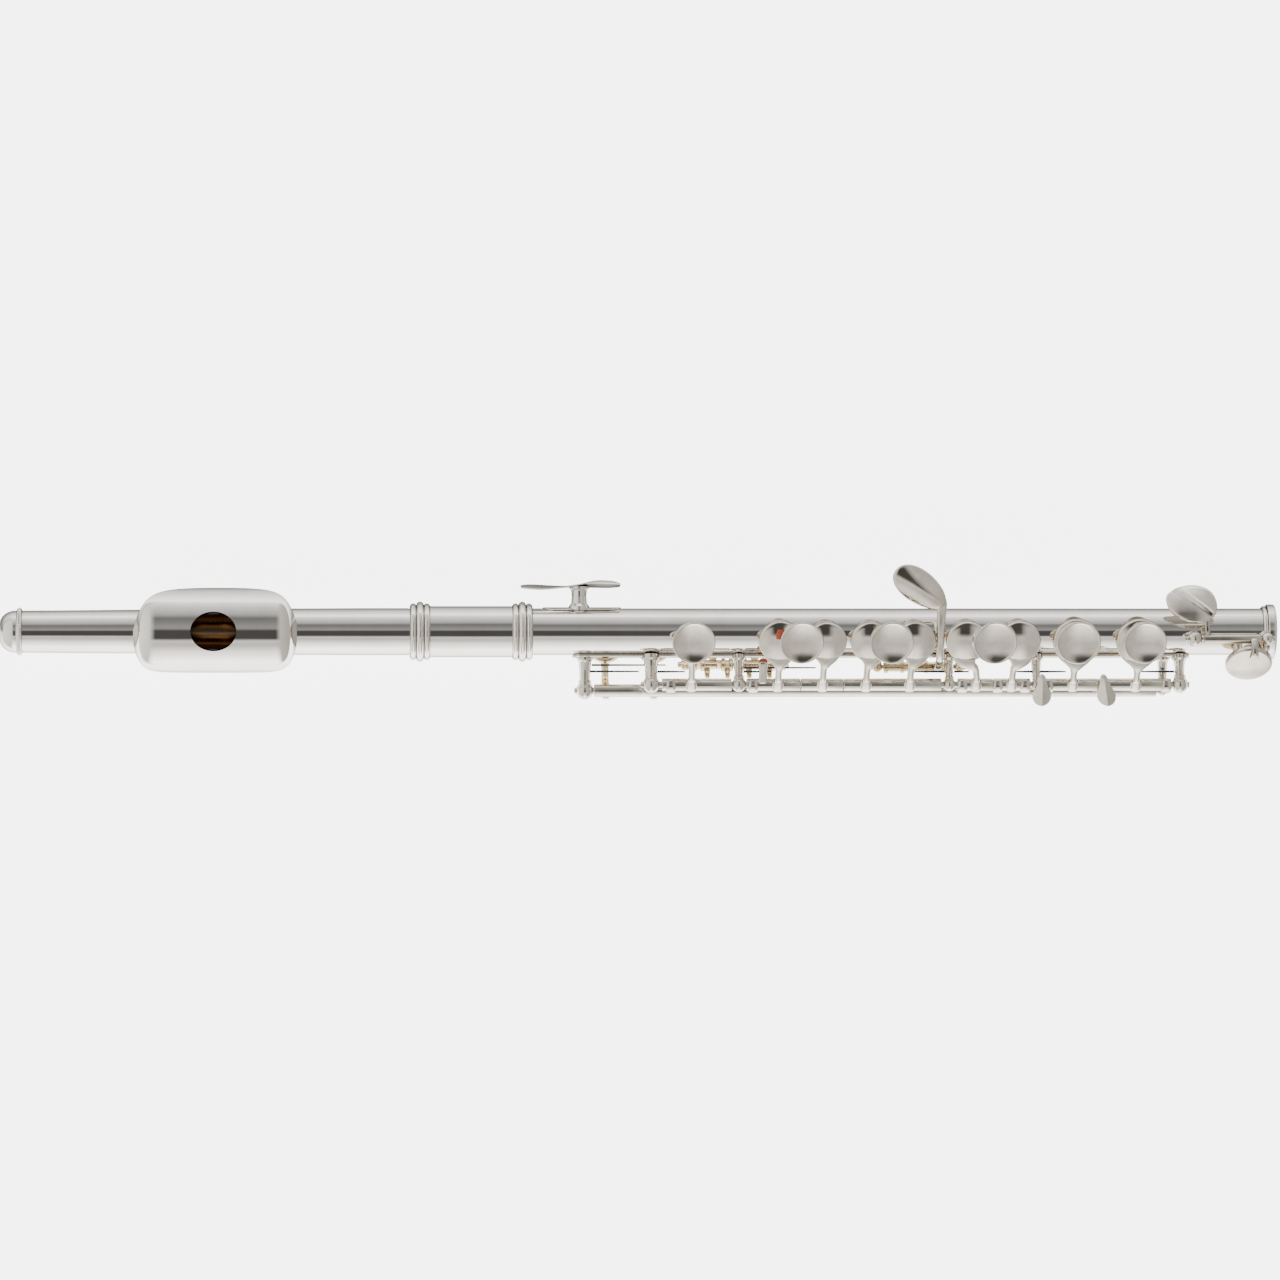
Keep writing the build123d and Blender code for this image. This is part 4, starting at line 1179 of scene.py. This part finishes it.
# The tent of light round the object: brightness by direction around the tube, from the player's
# side (-180 degrees) over the camera's direction (0) to the far side (180 degrees).
TENT = [
    (-180, 0.80), (-112, 0.80), (-97, 0.69), (-84, 0.57), (-71, 0.41), (-59, 0.32), (-48, 0.20), (-38, 0.13),
    (-31, 0.145), (-27, 0.16), (-22, 0.05), (-19, 0.013), (2, 0.013), (8, 0.06), (14, 0.055), (24, 0.04),
    (33, 0.033), (43, 0.093), (53, 0.13), (64, 0.176), (77, 0.27), (90, 0.37), (180, 0.37),
]
# The light at the two ends, left and right of the camera.
SIDE_GLOW = [(0.0, 0.23), (0.42, 0.17), (0.58, 0.13), (1.0, 0.09)]
TENT_STRENGTH = 6.0


def make_world():
    world = bpy.data.worlds.new("studio")
    world.use_nodes = True
    tree = world.node_tree
    back = tree.nodes["Background"]

    def add(kind, **values):
        return add_node(tree, kind, **values)

    def maths(operation, a, b=None):
        node = add("Math", operation=operation)
        for socket, value in zip(node.inputs, (a, b)):
            if isinstance(value, (int, float)):
                socket.default_value = value
            elif value is not None:
                tree.links.new(value, socket)
        return node.outputs[0]

    turn = add("VectorRotate", rotation_type="X_AXIS")
    turn.inputs["Angle"].default_value = VIEW_TILT
    tree.links.new(add("TexCoord").outputs["Generated"], turn.inputs["Vector"])
    split = add("SeparateXYZ")
    tree.links.new(turn.outputs[0], split.inputs[0])
    x, y, z = split.outputs
    around = maths("MULTIPLY_ADD", maths("ARCTAN2", y, z), 1 / (2 * pi))
    around.node.inputs[2].default_value = 0.5
    stops = []
    for angle, level in TENT:
        warm = 0.01 if angle > 0 else 0.04
        stops.append(((angle + 180) / 360, (min(level * (1 + warm), 1.0), level, level * (1 - warm))))
    ramp = fill(add("ValToRGB"), stops)
    tree.links.new(around, ramp.inputs["Fac"])
    # Away from the tube's own plane the dark gap round the camera closes.
    side = add_span(tree, maths("ABSOLUTE", x), 0.13, 0.34, 0.0, 1.0)
    along = maths("MULTIPLY_ADD", x, 0.5)
    along.node.inputs[2].default_value = 0.5
    glow = fill(add("ValToRGB"), [(place, (level * 1.03, level, level * 0.94)) for place, level in SIDE_GLOW])
    tree.links.new(along, glow.inputs["Fac"])
    mix = add("Mix", data_type="RGBA")
    tree.links.new(side, mix.inputs["Factor"])
    colour = [s for s in mix.inputs if s.type == "RGBA"]
    tree.links.new(ramp.outputs["Color"], colour[0])
    tree.links.new(glow.outputs["Color"], colour[1])
    result = [s for s in mix.outputs if s.type == "RGBA"][0]
    tree.links.new(result, back.inputs["Color"])
    back.inputs["Strength"].default_value = TENT_STRENGTH
    bpy.context.scene.world = world


make_camera()
make_world()
make_floor()
